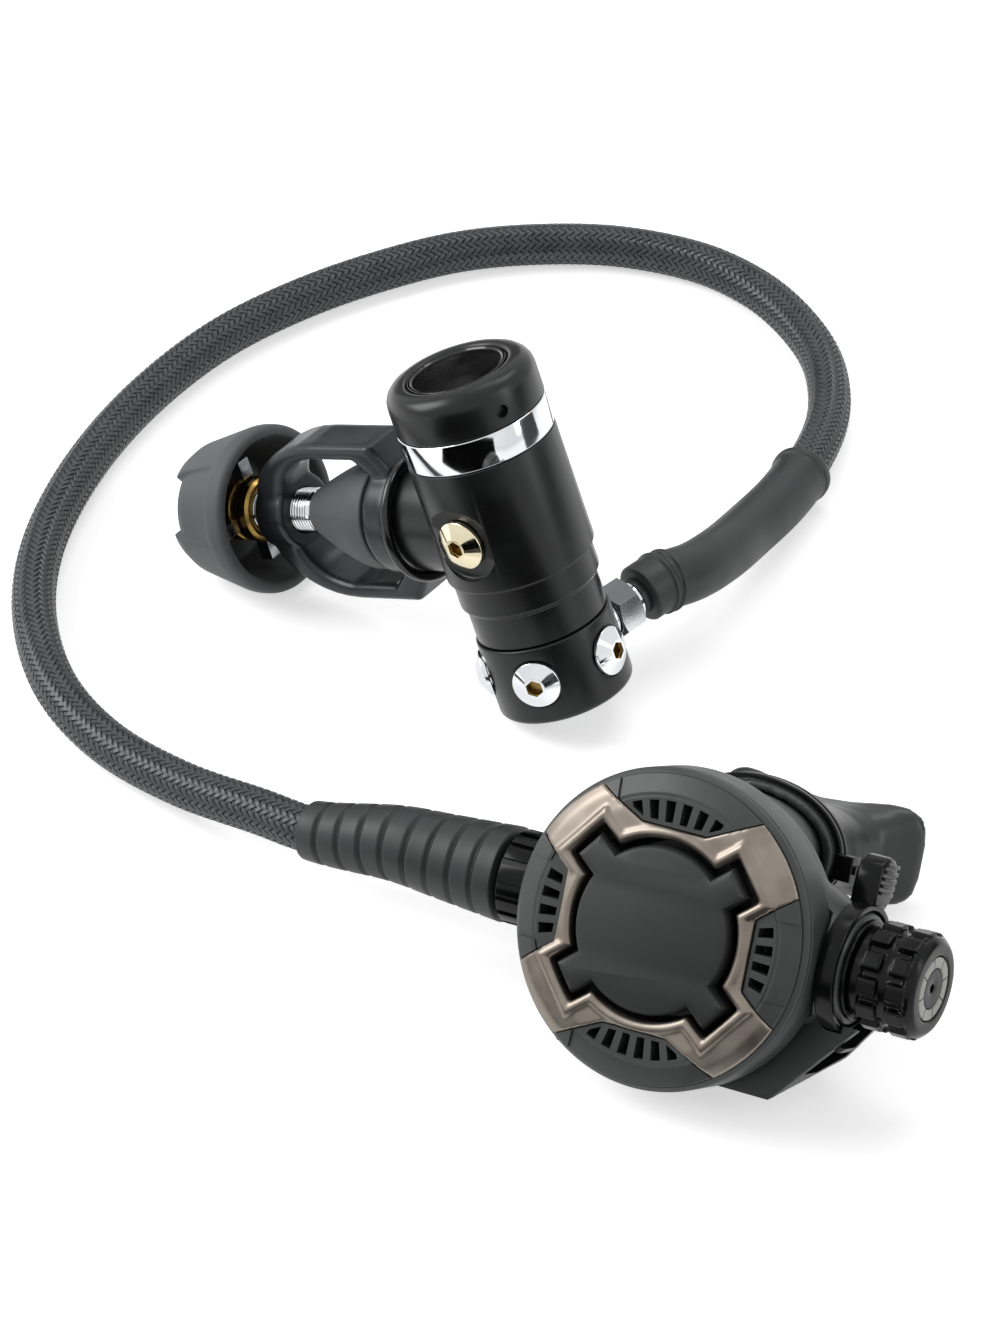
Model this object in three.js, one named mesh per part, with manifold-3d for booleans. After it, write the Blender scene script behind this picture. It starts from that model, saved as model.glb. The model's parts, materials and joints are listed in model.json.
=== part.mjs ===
// Scuba regulator set: a yoke first stage with a swivel turret, a braided
// low-pressure hose and a balanced second stage with a round front cover,
// laid out on a table. Millimetres, +Z up, the table is the plane z = 0.
import * as THREE from "three";
import { mergeVertices } from "three/addons/utils/BufferGeometryUtils.js";
import Module from "manifold-3d";

const wasm = await Module();
wasm.setup();

// ---------------------------------------------------------------- driving sizes
const gap = 0.3; // clearance between pieces that touch
const flatness = 0.32; // how far the flats of a round surface may lie inside it

// First stage, heights measured from the yoke screw's axis
const bodyRadius = 20.6;
const bodyTop = 23; // seam between the body and the chromed spring housing
const bodyBottom = -12.3;
const shoulderRadius = 19.5;
const shoulderBottom = -21;
const neckRadius = 18.2;
const neckBottom = -31;
const housingTop = 31.6;
const capTop = 44.5;
const capFillet = 5;
const capDiscRadius = 14;
const diaphragmSeat = 17.6;
const diaphragmThickness = 1.2;
const springMeanRadius = 11.4;
const springWire = 2.2;
const springTurns = 2.75;
const turretRadius = 18.8;
const turretBottom = -54;
const portHeight = -41.5; // low-pressure ports
const lowThreadRadius = 4.7;
const lowHeadRadius = 6.6;
const lowHeadHeight = 3.3;
const highPortHeight = 2;
const highThreadRadius = 5.6;
const highHeadRadius = 7;
const highHeadHeight = 3.4;
const highFlatRadius = 10.6;
const spindleRadius = 8.7;
const chamberRadius = 6.5; // high-pressure chamber in the body

// Yoke, distances along the screw's axis from the body's axis
const bossRadius = 15.4;
const yokeStart = 30;
const yokeWall = 8;
const yokeWindow = 35.6;
const yokeNose = 10;
const yokeArm = 4.6; // thickness of each arm
const windowHeight = 38.4;
const yokeDepth = 15;
const screwRadius = 6.3;
const retainerRadius = 10;
const retainerFlange = 13.4;
const retainerFlangeHeight = 4;
const dustCapRadius = 15.4;
const dustCapLength = 27;
const knobRimRadius = 23.4;
const knobEndRadius = 17.4;
const knobLength = 26;
const knobWall = 3;
const knobLobes = 6;

// Hose
const hoseRadius = 6.15;
const hoseSides = 10;
const hoseSteps = 30;
const sleeveWall = 1.5;
const sleeveLength = 92;
const gripNutRadius = 12.6;
const gripHoseRadius = 8;
const gripLength = 62;
const gripRibs = 9;
const gripGroove = 0.9;
const ferruleLength = 8;
const hexAcrossFlats = 14.3;
const hexLength = 8;

// Second stage, distances from the valve barrel's axis
const coverRadius = 40.4;
const coverFront = 25.2; // the vented face in front of the barrel's axis
const ringBack = 8.7;
const ringFront = 23;
const caseWall = 2.2;
const caseDepth = 16;
const caseBackRadius = 27;
const barrelRadius = 8.2;
const bossOuterRadius = 14.6;
const inletBossEnd = coverRadius + 0.6;
const knobBossEnd = coverRadius + 5.6;
const inletNutRadius = 12.4;
const inletNutLength = 11;
const inletNutRibs = 14;
const adjusterRadius = 13.7;
const adjusterLength = 18.2;
const adjusterStart = knobBossEnd + 1.4;
const adjusterEnd = adjusterStart + adjusterLength;
const adjusterRibs = 12;
const trimOuter = coverRadius - 5;
const ventOuter = trimOuter - 3.2;
const ventLength = 5.4;
const ventPitch = 4.3;
const ventInner = ventOuter - ventLength;
const buttonLugRadius = ventInner + 0.2;
const buttonRadius = buttonLugRadius - 6.2;
const buttonLugWidth = buttonRadius / 2.6;
const buttonLugAngle = 39; // degrees above the horizontal
const buttonHeight = 3.2;
const trimWingAngle = 12.5; // half the angle that a wing of the trim spans
const trimGap = 2; // between the button and the trim
const mouthCentre = 21; // height of the mouthpiece tube over the barrel's axis
const mouthHalfWidth = 20;
const mouthHalfHeight = 12.6;
const mouthTubeEnd = 34;
const mouthpieceEnd = 61;
const flangeHalfWidth = 30;
const flangeHalfHeight = 14.5;
const exhaustRadius = 8;
const exhaustCentre = -11.5;
const teeHalfWidth = 30;
const teeBackHalfWidth = 24;
const teeFront = -5;
const teeBack = 24;
const teeTop = 1;
const teeBottom = -37.4;
const teeBackBottom = -18.4;
const teeWing = knobBossEnd + 6;
const teeWingHeight = -12;

// Places on the table
const firstStageAt = [-8.4, 54.4];
const firstStageHeading = 144.2; // direction of the yoke, degrees from +X
const secondStageAt = [39.6, -85.2];
const secondStageTurn = [-33.1, -32.6, -6.9]; // yaw, pitch and roll, degrees

// The hose's centre line from the turret to the second stage
const hoseRoute = [
  [42.2, 79.6, 18.8], [50.6, 92.2, 15.3], [58.6, 107.1, 12], [69.3, 126.5, 9.4],
  [77.6, 145.5, 8.4], [83.4, 166.1, 7.2], [84.5, 185.7, 6.4], [82, 202.3, 6.3], [73.4, 222.4, 6.3],
  [63.4, 236.2, 6.3], [48.8, 248, 6.3], [25.6, 256.4, 6.3], [1.7, 257.6, 6.3], [-22, 253.8, 6.3],
  [-45.7, 243.4, 6.3], [-69, 228.7, 6.3], [-91.9, 208.2, 6.3], [-113.7, 176.9, 6.3],
  [-129.5, 141, 6.3], [-137.9, 104.8, 6.3], [-137.8, 74.6, 6.3], [-129.9, 44, 6.3],
  [-115.7, 20.9, 6.6], [-94.8, -0.5, 9.5], [-73.1, -18.4, 14.6], [-58, -30.3, 17.7],
];

// ---------------------------------------------------------------- helpers
const X = new THREE.Vector3(1, 0, 0);
const Y = new THREE.Vector3(0, 1, 0);
const Z = new THREE.Vector3(0, 0, 1);
const radians = THREE.MathUtils.degToRad;

// Turns any closed geometry into a solid whose faces point outwards.
function solid(geometry) {
  const bare = (geometry.index ? geometry.toNonIndexed() : geometry).clone();
  bare.deleteAttribute("normal");
  bare.deleteAttribute("uv");
  const merged = mergeVertices(bare, 1e-4);
  const points = merged.attributes.position.array;
  const faces = [];
  let volume = 0;
  const corner = (i) => new THREE.Vector3(points[3 * i], points[3 * i + 1], points[3 * i + 2]);
  for (let i = 0; i < merged.index.count; i += 3) {
    const [a, b, c] = merged.index.array.slice(i, i + 3);
    if (a === b || b === c || a === c) continue;
    faces.push([a, b, c]);
    volume += corner(a).dot(corner(b).cross(corner(c)));
  }
  const triVerts = new Uint32Array((volume < 0 ? faces.map(([a, b, c]) => [a, c, b]) : faces).flat());
  return new wasm.Manifold(new wasm.Mesh({ numProp: 3, vertProperties: points, triVerts }));
}

const join = (...pieces) => pieces.reduce((a, b) => a.add(b));
const cut = (body, ...tools) => tools.reduce((a, b) => a.subtract(b), body);
const keep = (body, ...tools) => tools.reduce((a, b) => a.intersect(b), body);

// As many sides as keep a circle's flats within a fixed distance of it.
const sidesFor = (radius) => Math.max(8, 4 * Math.ceil(Math.PI / Math.acos(1 - flatness / radius) / 4));

// A solid of revolution about Z from a closed list of [radius, height] points.
function turned(profile) {
  const sides = sidesFor(Math.max(...profile.map(([r]) => r)));
  const points = profile.map(([r, z]) => new THREE.Vector2(r, z));
  const onAxis = profile[0][0] === 0 && profile.at(-1)[0] === 0;
  if (!onAxis) points.push(points[0].clone());
  return solid(new THREE.LatheGeometry(points, sides).rotateX(Math.PI / 2));
}

// A plain round bar or ring about Z from one height to another.
const bar = (radius, from, to) => turned([[0, from], [radius, from], [radius, to], [0, to]]);
const ring = (inner, outer, from, to) => turned([[inner, from], [outer, from], [outer, to], [inner, to]]);

// A flat shape raised along Z, with an optional bevel inside its height.
function raised(shape, from, to, bevel = 0, curveSegments = 8) {
  const options = { depth: to - from - 2 * bevel, curveSegments, bevelEnabled: bevel > 0 };
  Object.assign(options, { bevelSize: bevel, bevelThickness: bevel, bevelOffset: -bevel, bevelSegments: 1 });
  return solid(new THREE.ExtrudeGeometry(shape, options).translate(0, 0, from + bevel));
}

const polygon = (points) => new THREE.Shape(points.map(([x, y]) => new THREE.Vector2(x, y)));
const box = (w, d, h, x = 0, y = 0, z = 0) => solid(new THREE.BoxGeometry(w, d, h).translate(x, y, z));

// Moves a solid by a matrix.
function moved(body, matrix) {
  return body.transform(matrix.elements);
}
const shifted = (body, x, y, z) => moved(body, new THREE.Matrix4().makeTranslation(x, y, z));
const spun = (body, angle, axis = Z) => moved(body, new THREE.Matrix4().makeRotationAxis(axis, angle));
const around = (count, make) => Array.from({ length: count }, (_, i) => make((2 * Math.PI * i) / count, i));

// The frame whose z is the axis and whose y is up, as a matrix.
function alongAxis(axis, up, at = new THREE.Vector3()) {
  const side = new THREE.Vector3().crossVectors(up, axis);
  return new THREE.Matrix4().makeBasis(side, up, axis).setPosition(at);
}

// A closed coil about Z: one unbroken round wire, its ends capped.
function coil(meanRadius, wire, from, to, turns, name) {
  const stepsPerTurn = 7;
  const sides = 4;
  const steps = Math.round(turns * stepsPerTurn);
  const height = to - from - wire;
  const positions = [];
  const index = [];
  for (let i = 0; i <= steps; i++) {
    const angle = (2 * Math.PI * i) / stepsPerTurn;
    const z = from + wire / 2 + (height * i) / steps;
    for (let j = 0; j < sides; j++) {
      const wireAngle = (2 * Math.PI * j) / sides;
      const r = meanRadius + (wire / 2) * Math.cos(wireAngle);
      positions.push(r * Math.cos(angle), r * Math.sin(angle), z + (wire / 2) * Math.sin(wireAngle));
    }
  }
  for (let i = 0; i < steps; i++)
    for (let j = 0; j < sides; j++) {
      const a = i * sides + j;
      const b = i * sides + ((j + 1) % sides);
      index.push(a, b, b + sides, a, b + sides, a + sides);
    }
  const last = steps * sides;
  for (let j = 1; j < sides - 1; j++) index.push(0, j + 1, j, last, last + j, last + j + 1);
  const geometry = new THREE.BufferGeometry();
  geometry.setAttribute("position", new THREE.Float32BufferAttribute(positions, 3)).setIndex(index);
  console.log(name + ": least gap between turns " + (height / turns - wire).toFixed(2) + " mm");
  return solid(geometry);
}

// A closed surface through rings of equal point counts; the last ring meets
// the first (a tube with a bore) unless capped.
function loft(rings, capped) {
  const sides = rings[0].length;
  const positions = rings.flat().flatMap((p) => [p.x, p.y, p.z]);
  const index = [];
  const spans = capped ? rings.length - 1 : rings.length;
  for (let i = 0; i < spans; i++)
    for (let j = 0; j < sides; j++) {
      const a = i * sides + j;
      const b = i * sides + ((j + 1) % sides);
      const c = ((i + 1) % rings.length) * sides + j;
      const d = ((i + 1) % rings.length) * sides + ((j + 1) % sides);
      index.push(a, b, d, a, d, c);
    }
  if (capped) {
    const last = (rings.length - 1) * sides;
    for (let j = 1; j < sides - 1; j++) index.push(0, j + 1, j, last, last + j, last + j + 1);
  }
  const geometry = new THREE.BufferGeometry();
  geometry.setAttribute("position", new THREE.Float32BufferAttribute(positions, 3)).setIndex(index);
  return solid(geometry);
}

const ovalSides = 20;
function ovalRing(halfWidth, halfHeight, z, y) {
  return around(ovalSides, (a) =>
    new THREE.Vector3(halfWidth * Math.cos(a), y + halfHeight * Math.sin(a), z));
}

// ---------------------------------------------------------------- finishes
const finish = (color, roughness, metalness) =>
  new THREE.MeshStandardMaterial({ color, roughness, metalness });
const finishes = {
  blackAnodised: finish("#1e1f21", 0.42, 0.6),
  chrome: finish("#d9dadb", 0.08, 1),
  warmChrome: finish("#cfc3a4", 0.12, 1),
  brass: finish("#a98546", 0.3, 1),
  springSteel: finish("#8d9094", 0.3, 1),
  matteCoat: finish("#3a3b3e", 0.5, 0.4),
  gloss: finish("#0c0c0e", 0.12, 0),
  rubber: finish("#2b2c2e", 0.7, 0),
  capRubber: finish("#46474a", 0.65, 0),
  braid: finish("#2c2d30", 0.45, 0),
  composite: finish("#323436", 0.55, 0),
  darkComposite: finish("#232426", 0.5, 0),
  gunmetal: finish("#6f6259", 0.35, 0.85),
  purgeRubber: finish("#1b1c1e", 0.6, 0),
  silicone: finish("#2e2f30", 0.45, 0),
  seat: finish("#d8cfc0", 0.5, 0),
};

// Adds a solid to a group as a named mesh.
function add(group, name, body, material) {
  const mesh = body.getMesh();
  const stride = mesh.numProp;
  const positions = new Float32Array(3 * mesh.numVert);
  for (let i = 0; i < mesh.numVert; i++)
    positions.set(mesh.vertProperties.subarray(i * stride, i * stride + 3), 3 * i);
  const indexed = new THREE.BufferGeometry();
  indexed.setAttribute("position", new THREE.BufferAttribute(positions, 3));
  indexed.setIndex(new THREE.BufferAttribute(mesh.triVerts, 1));
  const geometry = indexed.toNonIndexed();
  geometry.computeVertexNormals();
  const named = new THREE.Mesh(geometry, material);
  named.name = name;
  group.add(named);
  return named;
}

// A threaded plug along +Z with a coned head and a hexagon socket, its seat at z = 0.
const hexagon = (acrossFlats) =>
  polygon(around(6, (a) => [Math.cos(a), Math.sin(a)].map((v) => (v * acrossFlats) / Math.sqrt(3))));
function plug(threadRadius, threadLength, headRadius, headHeight, socket) {
  const body = turned([
    [0, -threadLength], [threadRadius - 0.6, -threadLength], [threadRadius, -threadLength + 0.8],
    [threadRadius, 0], [headRadius, 0], [headRadius, headHeight * 0.35],
    [socket * 0.95, headHeight], [0, headHeight],
  ]);
  return cut(body, raised(hexagon(socket), headHeight - 2.4, headHeight + 1));
}

// ---------------------------------------------------------------- first stage
const windowStart = yokeStart + yokeWall;
const windowEnd = windowStart + yokeWindow;
const noseEnd = windowEnd + yokeNose;
const knobMouth = noseEnd + gap;
const knobEnd = knobMouth + knobLength;
const turretEdge = 1.6;

// The table touches the knob and the turret's lower edge, which sets the tilt: each list
// holds [distance along the yoke, depth below its axis].
const knobSilhouette = [[knobMouth + 4, knobRimRadius], [knobEnd - 5, knobEndRadius + 1.2],
  [knobEnd, knobEndRadius - 1.5]];
const turretSilhouette = [
  [turretRadius, -turretBottom - turretEdge], [turretRadius - turretEdge, -turretBottom]];
const firstStageTilt = Math.max(...turretSilhouette.map(([x, depth]) =>
  Math.min(...knobSilhouette.map(([along, radius]) => Math.atan2(depth - radius, along - x)))));
const firstStage = new THREE.Group();
const swivelling = new THREE.Group(); // all that turns on the turret
firstStage.add(swivelling);
firstStage.rotation.set(0, firstStageTilt, radians(firstStageHeading), "ZYX");

const yokeFrame = new THREE.Group();
yokeFrame.applyMatrix4(alongAxis(X, Z));
swivelling.add(yokeFrame);

const housingSpigot = 17.2;
const housingBore = 15.2;
const highFlat = 18.6; // distance of the spot-faced flats from the axis
const portAngles = around(5, (a) => a + radians(41));
const hosePort = 3;

function firstStageBody() {
  const seam = bodyTop - gap;
  const outside = turned([
    [0, -45], [spindleRadius, -45], [spindleRadius, -36.3], [spindleRadius - 1.2, -36.3],
    [spindleRadius - 1.2, -34], [spindleRadius, -34], [spindleRadius, neckBottom],
    [neckRadius - 0.6, neckBottom], [neckRadius, neckBottom + 0.6], [neckRadius, shoulderBottom - 1],
    [shoulderRadius, shoulderBottom + 0.6], [shoulderRadius, bodyBottom - 0.8],
    [bodyRadius, bodyBottom], [bodyRadius, seam], [0, seam],
  ]);
  const toYoke = alongAxis(X, Z);
  const boss = moved(bar(bossRadius, 8, yokeStart - gap), toYoke);
  const chamber = turned([
    [0, -22], [chamberRadius, -22], [chamberRadius, 4.4], [5.3, 4.4], [5.3, 9], [12, 10],
    [12, diaphragmSeat], [housingSpigot + gap + 0.4, diaphragmSeat], [housingSpigot + gap + 0.4, seam + 1],
    [0, seam + 1],
  ]);
  const boltHole = bar(4.3, -46, -37);
  const lowBore = bar(2.6, -38, -24.5);
  const lowDrop = shifted(bar(1.6, -26, 11), -10.2, 0, 0);
  const lowCross = moved(bar(1.5, -10.2, 0.5), alongAxis(X, Z, new THREE.Vector3(0, 0, -25.5)));
  const lowOut = moved(bar(1.4, -spindleRadius - 1, spindleRadius + 1),
    alongAxis(X, Z, new THREE.Vector3(0, 0, -38.6)));
  const inlet = moved(join(bar(3.6, 0, 20), bar(retainerRadius + gap, 14, yokeStart + 1)), toYoke);
  const highBores = [1, -1].map((side) => moved(
    join(bar(highThreadRadius + gap, 4, highFlat + 1), bar(highFlatRadius, highFlat, 30)),
    alongAxis(Y.clone().multiplyScalar(side), Z, new THREE.Vector3(0, 0, highPortHeight))));
  return cut(join(outside, boss), chamber, boltHole, lowBore, lowDrop, lowCross, lowOut, inlet, ...highBores);
}
add(swivelling, "first_stage_body", firstStageBody(), finishes.blackAnodised);

const clampTop = diaphragmSeat + gap + diaphragmThickness + gap;
add(swivelling, "spring_housing", turned([
  [housingBore, clampTop], [housingSpigot + 0.4, clampTop], [housingSpigot + 0.4, bodyTop],
  [bodyRadius, bodyTop], [bodyRadius, housingTop], [housingSpigot, housingTop],
  [housingSpigot, housingTop + 5.4], [housingBore, housingTop + 5.4],
]), finishes.chrome);

function topCap() {
  const start = housingTop + gap;
  const rim = [];
  for (let i = 0; i <= 5; i++) {
    const a = (Math.PI / 2) * (i / 5);
    rim.push([
      bodyRadius - capFillet + capFillet * Math.cos(a), capTop - capFillet + capFillet * Math.sin(a)]);
  }
  const shell = turned([
    [housingSpigot + gap, start], [bodyRadius, start], ...rim, [capDiscRadius + 0.4, capTop],
    [capDiscRadius, capTop - 0.5], [capDiscRadius, capTop - 1.6], [5, capTop - 1.6], [5, capTop - 3.6],
    [housingSpigot + gap, capTop - 4.4],
  ]);
  const holes = around(3, (a) => moved(bar(1.8, bodyRadius - 2, bodyRadius + 2),
    alongAxis(new THREE.Vector3(Math.cos(a + 2.75), Math.sin(a + 2.75), 0), Z,
      new THREE.Vector3(0, 0, start + 4.2))));
  return cut(shell, ...holes);
}
add(swivelling, "top_cap", topCap(), finishes.blackAnodised);
add(swivelling, "cap_disc", bar(capDiscRadius - gap, capTop - 1.6 + gap, capTop - 0.4), finishes.gloss);

const adjusterBottom = housingTop + 0.9;
const padTop = clampTop + 2.4;
add(swivelling, "spring_adjuster",
  cut(ring(5, housingBore - gap, adjusterBottom, adjusterBottom + 3.6),
    box(2.4, 22, 2, 0, 0, adjusterBottom + 3.6)), finishes.brass);
add(swivelling, "main_spring",
  coil(springMeanRadius, springWire, padTop + gap, adjusterBottom - gap, springTurns, "main_spring"),
  finishes.springSteel);
add(swivelling, "spring_pad",
  turned([[0, clampTop], [11.5, clampTop], [13.6, clampTop + 1], [13.6, padTop], [8.6, padTop],
    [8.6, padTop + 1.4], [0, padTop + 1.4]]), finishes.brass);
add(swivelling, "main_diaphragm",
  bar(housingSpigot, diaphragmSeat + gap, diaphragmSeat + gap + diaphragmThickness), finishes.rubber);
add(swivelling, "valve_lifter",
  turned([[0, 5.2], [1.1, 5.2], [1.1, diaphragmSeat - 2], [8.5, diaphragmSeat - 2],
    [8.5, diaphragmSeat], [0, diaphragmSeat]]), finishes.brass);
add(swivelling, "high_pressure_seat", turned([[1.9, 4.6], [5, 4.6], [5, 8.4], [1.9, 8.4]]), finishes.brass);
add(swivelling, "high_pressure_poppet",
  turned([[0, -14], [1.8, -14], [1.8, 0.6], [4.4, 0.6], [4.4, 3.2], [3, 4.3], [0, 4.3]]), finishes.seat);
add(swivelling, "high_pressure_spring",
  coil(3.5, 1, -7.6, 0.3, 4.5, "high_pressure_spring"), finishes.springSteel);
add(swivelling, "balance_plug",
  turned([[0, -21.6], [6.2, -21.6], [6.2, -8], [2.2, -8], [2.2, -15], [0, -15]]), finishes.brass);

// High-pressure plugs in their spot-faced flats
[1, -1].forEach((side, i) => {
  const port = new THREE.Group();
  port.applyMatrix4(alongAxis(Y.clone().multiplyScalar(side), Z,
    new THREE.Vector3(0, side * (highFlat + gap), highPortHeight)));
  swivelling.add(port);
  add(port, "high_pressure_plug_" + (i + 1),
    plug(highThreadRadius, 9, highHeadRadius, highHeadHeight, 4), finishes.warmChrome);
});

// Turret: turns on the body's spindle, held by the bolt from below
const lowFlat = turretRadius - 0.9;
function turret() {
  const shell = turned([
    [0, turretBottom], [turretRadius - turretEdge, turretBottom], [turretRadius, turretBottom + turretEdge],
    [turretRadius, neckBottom - gap - 0.6], [turretRadius - 0.6, neckBottom - gap], [0, neckBottom - gap],
  ]);
  const bore = turned([
    [0, -46], [12, -46], [12, -36.8], [spindleRadius + gap, -36.8], [spindleRadius + gap, neckBottom],
    [0, neckBottom],
  ]);
  const boltBore = join(bar(4.3, turretBottom - 1, -45), bar(7.4, turretBottom - 1, turretBottom + 3.4));
  const ports = portAngles.map((a) => moved(
    join(bar(lowThreadRadius + gap, 11, 19), bar(lowHeadRadius + 0.6, lowFlat, 24)),
    alongAxis(new THREE.Vector3(Math.cos(a), Math.sin(a), 0), Z, new THREE.Vector3(0, 0, portHeight))));
  return cut(shell, bore, boltBore, ...ports);
}
add(firstStage, "turret", turret(), finishes.blackAnodised);
add(firstStage, "turret_bolt",
  cut(turned([
    [0, turretBottom + 0.5], [7, turretBottom + 0.5], [7, turretBottom + 3.1], [4, turretBottom + 3.1],
    [4, -37.6], [0, -37.6],
  ]), raised(hexagon(5), turretBottom, turretBottom + 2.6)), finishes.springSteel);
add(swivelling, "turret_o_ring",
  turned(around(6, (a) => [spindleRadius - 0.3 + 0.45 * Math.cos(a), -35.15 + 0.6 * Math.sin(a)])),
  finishes.rubber);

const fittingEnd = hexLength + 3;
let plugCount = 0;
let fittingMesh;
portAngles.forEach((a, i) => {
  const out = new THREE.Vector3(Math.cos(a), Math.sin(a), 0);
  const port = new THREE.Group();
  port.applyMatrix4(alongAxis(out, Z, out.clone().multiplyScalar(lowFlat + gap).setZ(portHeight)));
  firstStage.add(port);
  if (i !== hosePort) {
    plugCount += 1;
    add(port, "low_pressure_plug_" + plugCount,
      plug(lowThreadRadius, 5.6, lowHeadRadius, lowHeadHeight, 4), finishes.chrome);
    return;
  }
  const hex = raised(hexagon(hexAcrossFlats), 1.2, 1.2 + hexLength, 0.6);
  const stem = join(bar(lowThreadRadius, -5.6, 1.5), bar(6.4, 0, 1.5), bar(5.6, hexLength, fittingEnd));
  const fitting = join(hex, stem);
  fittingMesh = add(port, "hose_fitting", spun(fitting, radians(30)), finishes.chrome);
});

// Yoke frame: local z runs out along the screw, y is up, x is across the arms
const innerHalf = windowHeight / 2;
const outerHalf = innerHalf + yokeArm;

function yoke() {
  const outline = new THREE.Shape();
  outline.moveTo(yokeStart, -16);
  outline.lineTo(yokeStart + 5, -outerHalf);
  outline.lineTo(windowEnd - 17, -outerHalf);
  outline.bezierCurveTo(windowEnd, -outerHalf, noseEnd, -13, noseEnd, -4);
  outline.lineTo(noseEnd, 4);
  outline.bezierCurveTo(noseEnd, 13, windowEnd, outerHalf, windowEnd - 17, outerHalf);
  outline.lineTo(yokeStart + 5, outerHalf);
  outline.lineTo(yokeStart, 16);
  outline.closePath();
  const opening = new THREE.Path();
  opening.moveTo(windowStart, -innerHalf + 4);
  opening.lineTo(windowStart, innerHalf - 4);
  opening.lineTo(windowStart + 4, innerHalf);
  opening.lineTo(windowEnd - 15, innerHalf);
  opening.quadraticCurveTo(windowEnd - 2, innerHalf - 2, windowEnd, 7);
  opening.lineTo(windowEnd, -7);
  opening.quadraticCurveTo(windowEnd - 2, -innerHalf + 2, windowEnd - 15, -innerHalf);
  opening.lineTo(windowStart + 4, -innerHalf);
  opening.closePath();
  outline.holes.push(opening);
  const flat = raised(outline, -yokeDepth / 2, yokeDepth / 2, 1, 6);
  const loop = moved(flat, new THREE.Matrix4().makeBasis(Z, Y, X.clone().negate()));
  const collar = bar(16.4, yokeStart, windowStart);
  const nose = turned([[0, windowEnd - 0.5], [10.5, windowEnd - 0.5], [10.5, noseEnd - 1.5], [9, noseEnd],
    [0, noseEnd]]);
  return cut(join(loop, collar, nose), bar(retainerRadius + gap, 20, windowStart + 1),
    bar(screwRadius + gap, windowEnd - 2, noseEnd + 1));
}
add(yokeFrame, "yoke", yoke(), finishes.matteCoat);

const flangeBack = windowStart + gap;
const flangeFront = flangeBack + retainerFlangeHeight;
function yokeRetainer() {
  const body = turned([
    [0, 14.4], [retainerRadius, 14.4], [retainerRadius, flangeBack], [retainerFlange, flangeBack],
    [retainerFlange, flangeFront - 1], [retainerFlange - 1, flangeFront], [0, flangeFront],
  ]);
  const way = turned([[0, 14], [3.6, 14], [3.6, flangeFront - 5], [6, flangeFront - 2], [6, flangeFront + 1],
    [0, flangeFront + 1]]);
  return cut(body, way, ring(7.6, 9.8, flangeFront - 1.2, flangeFront + 1));
}
add(yokeFrame, "yoke_retainer", yokeRetainer(), finishes.chrome);
add(yokeFrame, "inlet_filter",
  turned([
    [0, flangeFront - 4.4], [3.2, flangeFront - 4.4], [5.6, flangeFront - 1.8],
    [5.6, flangeFront - 0.8], [0, flangeFront - 0.8],
  ]), finishes.brass);
add(yokeFrame, "tether_ring",
  turned(around(6, (a) => [bossRadius + 1.75 + 1.4 * Math.cos(a), yokeStart - 1.8 + 1.4 * Math.sin(a)])),
  finishes.gloss);

const capSkirt = flangeBack + 1;
const dustCapEnd = capSkirt + dustCapLength;
function dustCap() {
  const cone = around(7, (_, i) => [
    dustCapRadius - (dustCapRadius - screwRadius) * Math.pow(i / 6, 1.25),
    capSkirt + 5 + (dustCapLength - 5) * (i / 6),
  ]);
  return turned([[retainerFlange + gap, capSkirt], [dustCapRadius, capSkirt], ...cone, [0, dustCapEnd],
    [0, flangeFront + gap], [retainerFlange + gap, flangeFront + gap]]);
}
add(yokeFrame, "dust_cap", dustCap(), finishes.capRubber);

const screwTip = dustCapEnd + gap;
const hubStart = noseEnd + 3.5;
const hubEnd = knobEnd - 7;
add(yokeFrame, "yoke_screw",
  turned([
    [0, screwTip], [screwRadius - 1.2, screwTip], [screwRadius, screwTip + 1.2],
    [screwRadius, hubStart + 8], [0, hubStart + 8],
  ]), finishes.chrome);

// The knob's rubber cover is hollow towards the yoke; the brass hub drives it with four spokes.
const hollowEnd = hubEnd + gap;
const rimInner = knobRimRadius - knobWall;
const endInner = knobEndRadius - knobWall;
add(yokeFrame, "yoke_knob", cut(join(
  bar(9, hubStart, hubEnd - 3),
  bar(5.4, hubEnd - 3.5, knobEnd - 4),
  ...around(4, (a) => spun(box(endInner + 0.6, 5, 6, (endInner + 0.6) / 2, 0, hubStart + 4), a))),
  bar(screwRadius + gap, hubStart - 1, hubStart + 8 + gap)), finishes.brass);

function knobCover() {
  const shell = turned([
    [rimInner, knobMouth], [knobRimRadius - 1, knobMouth], [knobRimRadius, knobMouth + 1.2],
    [knobRimRadius, knobMouth + 4], [knobEndRadius + 1.2, knobEnd - 5], [knobEndRadius - 1.5, knobEnd],
    [endInner - 1.4, knobEnd], [endInner - 1.4, knobEnd - 5], [5.4 + gap, knobEnd - 5],
    [5.4 + gap, hollowEnd],
    [endInner + 1, hollowEnd],
  ]);
  const notches = around(knobLobes, (a) => spun(
    box(9, 5, 8, knobEndRadius, 0, knobEnd), a + radians(30)));
  return cut(shell, ...notches);
}
add(yokeFrame, "knob_cover", knobCover(), finishes.capRubber);

// ---------------------------------------------------------------- second stage
const secondStage = new THREE.Group();
secondStage.rotation.set(...[1, 2, 0].map((i) => radians(secondStageTurn[i])), "ZXY");
const barrelFrame = new THREE.Group(); // z along the barrel towards the knob
barrelFrame.applyMatrix4(alongAxis(X, Z));
const coverFrame = new THREE.Group(); // z out of the cover, x to the right
coverFrame.applyMatrix4(alongAxis(Y.clone().negate(), Z));
const mouthFrame = new THREE.Group(); // z out of the mouthpiece
mouthFrame.applyMatrix4(alongAxis(Y, Z));
secondStage.add(barrelFrame, coverFrame, mouthFrame);

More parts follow.
